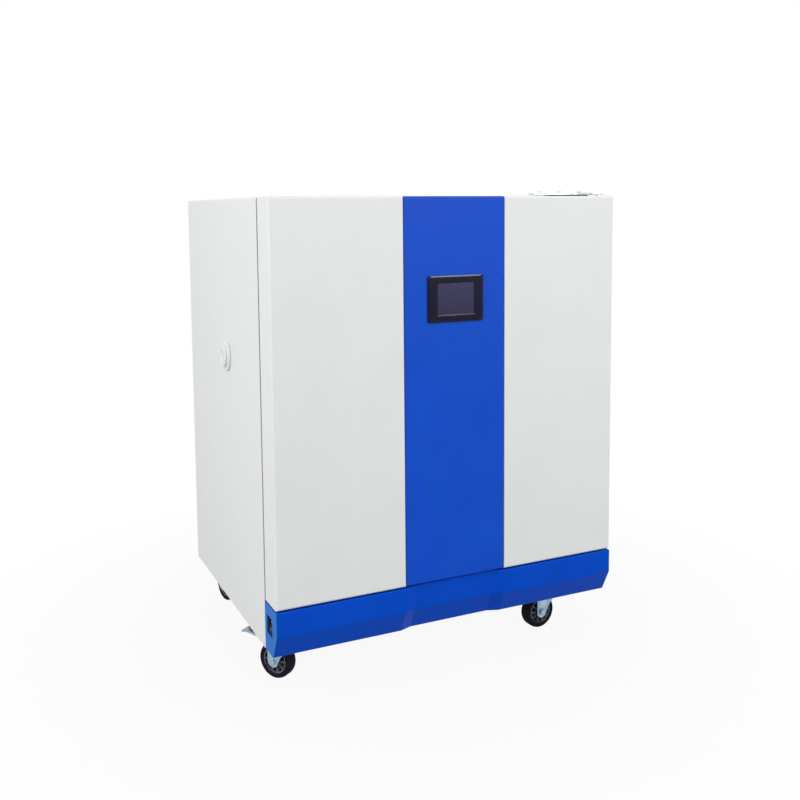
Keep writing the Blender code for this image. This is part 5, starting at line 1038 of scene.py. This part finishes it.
def make_casters():
    """Four swivel casters, each built about its swivel axis and turned to its own heading."""
    for corner in ("front_left", "front_right", "rear_left", "rear_right"):
        plate_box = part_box(f"caster_plate_{corner}")
        swivel, wheel = centre_of(f"caster_plate_{corner}"), centre_of(f"wheel_tyre_{corner}")
        swivel.z = 0
        out = wheel - swivel
        heading = Matrix.Rotation(math.atan2(out.y, out.x), 4, "Z")
        radius, braked = wheel.z, corner.startswith("front")
        upright = Matrix.Translation(swivel)
        turned = upright @ heading
        on_axle = Matrix.Translation(wheel) @ heading
        ribs, web = hub_shapes(radius)
        shapes = [
            ("plate", plate_shape(*plate_box), ZINC, "cabinet", "caster_plate", upright),
            ("fork_pressing", fork_shape(radius, braked), ZINC, "fork", "caster_fork", turned),
            ("hub", web, BLACK_PLASTIC, "wheel", "wheel_hub", on_axle),
            # The ribs take the grey of painted highlight; the web and boss stay black
            ("hub_ribs", ribs, PAINTED_LIT_RIB_PLASTIC, "wheel", "", on_axle),
            ("tyre", tyre_shape(radius), TYRE, "wheel", "wheel_tyre", on_axle),
        ]
        if braked:
            at_pin = turned @ Matrix.Translation((PEDAL_PIN_OUT, 0, PEDAL_PIN_HEIGHT))
            shapes.append(("pedal_pressing", pedal_shape(), ZINC, "pedal", "brake_pedal", at_pin))
        for name, mesh, finish, body, node, place in shapes:
            mesh.transform(place)
            on_body = body if body == "cabinet" else f"{body}_{corner}"
            nodes = [f"{node}_{corner}"] if node else []
            piece(f"{name}_{corner}", mesh, finish, on_body, *nodes)


def around(angle, radius=1.0, height=0.0):
    """The place at an angle about Z, at a radius and a height."""
    return Vector((radius * math.cos(angle), radius * math.sin(angle), height))


def clamp_leg(centre, angle, floor):
    """A spring leg: up from its foot, bowed out, and curled in over the flask's shoulder."""
    steps = 14
    out = around(angle)
    side = around(angle + math.pi / 2) * CLAMP_WIDTH / 2
    thick = out * CLAMP_SHEET / 2
    rings = []
    for step in range(steps + 1):
        t = step / steps
        reach = CLAMP_RADIUS + CLAMP_BOW * math.sin(math.pi * t) - CLAMP_CURL * t**4
        taper = side * (1 - 0.25 * t**3)
        middle = centre + around(angle, reach, floor + CLAMP_HEIGHT * t)
        corners = (-taper - thick, taper - thick, taper + thick, -taper + thick)
        rings.append([middle + corner for corner in corners])
    return lofted(rings)


def clamp_spring(centre, height):
    """The coil spring that draws a clamp's four legs together."""
    reach = CLAMP_RADIUS + SPRING_OUT
    steps = SPRING_TURNS * 8
    points = []
    for step in range(steps):
        coil = math.tau * step / 8
        out, up = reach + SPRING_COIL * math.cos(coil), height + SPRING_COIL * math.sin(coil)
        points.append(centre + around(math.tau * step / steps, out, up))
    return wire_ring(points, SPRING_WIRE, 1)


def make_tray():
    """The shaking tray with its rounded lip, and the drop-in plate with four flask clamps."""
    low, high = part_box("shaking_tray")
    wall, edge, floor = TRAY_WALL, TRAY_EDGE, low.z + TRAY_WALL
    rings = []
    for inset, z in (
        (0.002, low.z), (0.0006, low.z + 0.0006), (0, low.z + 0.002), (0, high.z - edge), (0.0003, high.z),
        (wall - 0.0003, high.z), (wall, high.z - edge), (wall, floor + 0.001), (wall + 0.001, floor),
    ):
        near, far = (low.x + inset, low.y + inset), (high.x - inset, high.y - inset)
        rings.append([(x, y, z) for x, y in rectangle(*near, *far, TRAY_RADIUS - inset)])
    piece("tray", lofted(rings), STEEL_X, "platform", "shaking_tray")
    low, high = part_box("clamp_plate")
    centre = (low + high) / 2
    top = low.z + CLAMP_SHEET
    plate = slab([rectangle(low.x, low.y, high.x, high.y, 0.008)], "Z", low.z, top, 0.0004)
    legs, springs, rivets = [], [], []
    rivet = lathed([(0, 0.0012), (0.003, 0.0012), (0.0042, -0.0004), (0, -0.0004)], 0.0008, 3, 24)
    for sign_x in (-1, 1):
        for sign_y in (-1, 1):
            x, y = centre.x + sign_x * CLAMP_PITCH_X / 2, centre.y + sign_y * CLAMP_PITCH_Y / 2
            place = Vector((x, y, 0))
            for quarter in range(4):
                angle = math.radians(90 * quarter)
                legs.append(clamp_leg(place, angle, top - 0.0008))
                rivets.append(Matrix.Translation(place + around(angle, CLAMP_RADIUS - RIVET_IN, top)))
            springs.append(clamp_spring(place, top + CLAMP_HEIGHT * 0.58))
    piece("clamps", together(plate, *legs, (rivet, rivets)), STEEL_X, "platform", "clamp_plate")
    piece("clamp_springs", together(*springs), SHAFT_STEEL, "platform")


def make_camera():
    data = bpy.data.cameras.new("camera")
    data.sensor_width = 36
    data.lens = CAMERA_LENS
    data.shift_y = CAMERA_SHIFT_Y
    camera = in_scene("camera", data)
    camera.matrix_world = Matrix.Translation(CAMERA_PLACE)
    for angle, axis in ((-CAMERA_YAW, "Z"), (90 + CAMERA_PITCH, "X"), (CAMERA_ROLL, "Z")):
        camera.matrix_world = camera.matrix_world @ Matrix.Rotation(math.radians(angle), 4, axis)
    bpy.context.scene.camera = camera


def soft_light(name, place, size, power):
    data = bpy.data.lights.new(name, "AREA")
    data.shape = "RECTANGLE"
    data.size, data.size_y = size
    data.energy = power
    lamp = in_scene(name, data)
    lamp.location = place
    lamp.rotation_euler = (LAMP_TARGET - place).to_track_quat("-Z", "Y").to_euler()


def direct_rays(tree):
    """1 for rays from the camera and for mirrored and refracted ones, 0 for those that light a surface."""
    path = add_node(tree, "ShaderNodeLightPath").outputs
    direct = path["Is Camera Ray"]
    for name in ("Is Glossy Ray", "Is Transmission Ray"):
        inputs = {0: direct, 1: path[name]}
        direct = add_node(tree, "ShaderNodeMath", inputs, operation="MAXIMUM").outputs[0]
    return direct


def make_light():
    """A room that looks white and lights evenly, and soft lamps that shape the cabinet."""
    world = bpy.data.worlds.new("studio")
    bpy.context.scene.world = world
    world.use_nodes = True
    tree = world.node_tree
    tree.nodes.clear()
    inputs = {0: direct_rays(tree)}
    for socket, colour, strength in ((1, (0.985, 0.99, 1.0, 1), ROOM), (2, (1, 1, 1, 1), 1.0)):
        plain = {"Color": colour, "Strength": strength}
        inputs[socket] = add_node(tree, "ShaderNodeBackground", plain).outputs[0]
    mix = add_node(tree, "ShaderNodeMixShader", inputs).outputs[0]
    add_node(tree, "ShaderNodeOutputWorld", {"Surface": mix})
    for name, (place, width, height, power) in LAMPS.items():
        soft_light(name, Vector(place), (width, height), power)


def make_floor():
    """A floor that shows as the white background and keeps the cabinet's soft shadow."""
    bm = bmesh.new()
    bmesh.ops.create_circle(bm, cap_ends=True, radius=14, segments=96)
    mesh = unpacked(bm)
    floor = in_scene("floor", mesh)
    finish = Finish("floor_paint", Roughness=0.9, Specular_IOR_Level=0.1)
    finish.done(finish.tint(finish.noise(0.4, 3), (168, 170, 172), (176, 178, 180)))
    away = finish.node("ShaderNodeVectorMath", {0: finish.place}, operation="LENGTH").outputs["Value"]
    white = finish.span(away, FLOOR_GLOW, 1.0, SHADOW_NEAR, SHADOW_FAR)
    share = finish.times(direct_rays(finish.tree), white)
    glow = finish.node("ShaderNodeEmission", {"Color": (1, 1, 1, 1), "Strength": 1.0}).outputs[0]
    mix = finish.node("ShaderNodeMixShader", {0: share, 1: finish.shader.outputs[0], 2: glow}).outputs[0]
    output = finish.tree.nodes["Material Output"]
    finish.tree.links.new(mix, output.inputs["Surface"])
    mesh.materials.append(finish.material)


def main():
    finish_solids()
    make_casing()
    make_cover_screws()
    make_door()
    make_skirt()
    make_switch()
    make_port()
    make_top_bracket()
    make_casters()
    make_tray()
    make_camera()
    make_light()
    make_floor()
    bpy.context.scene.view_settings.view_transform = "Standard"


main()
bpy.context.view_layer.update()
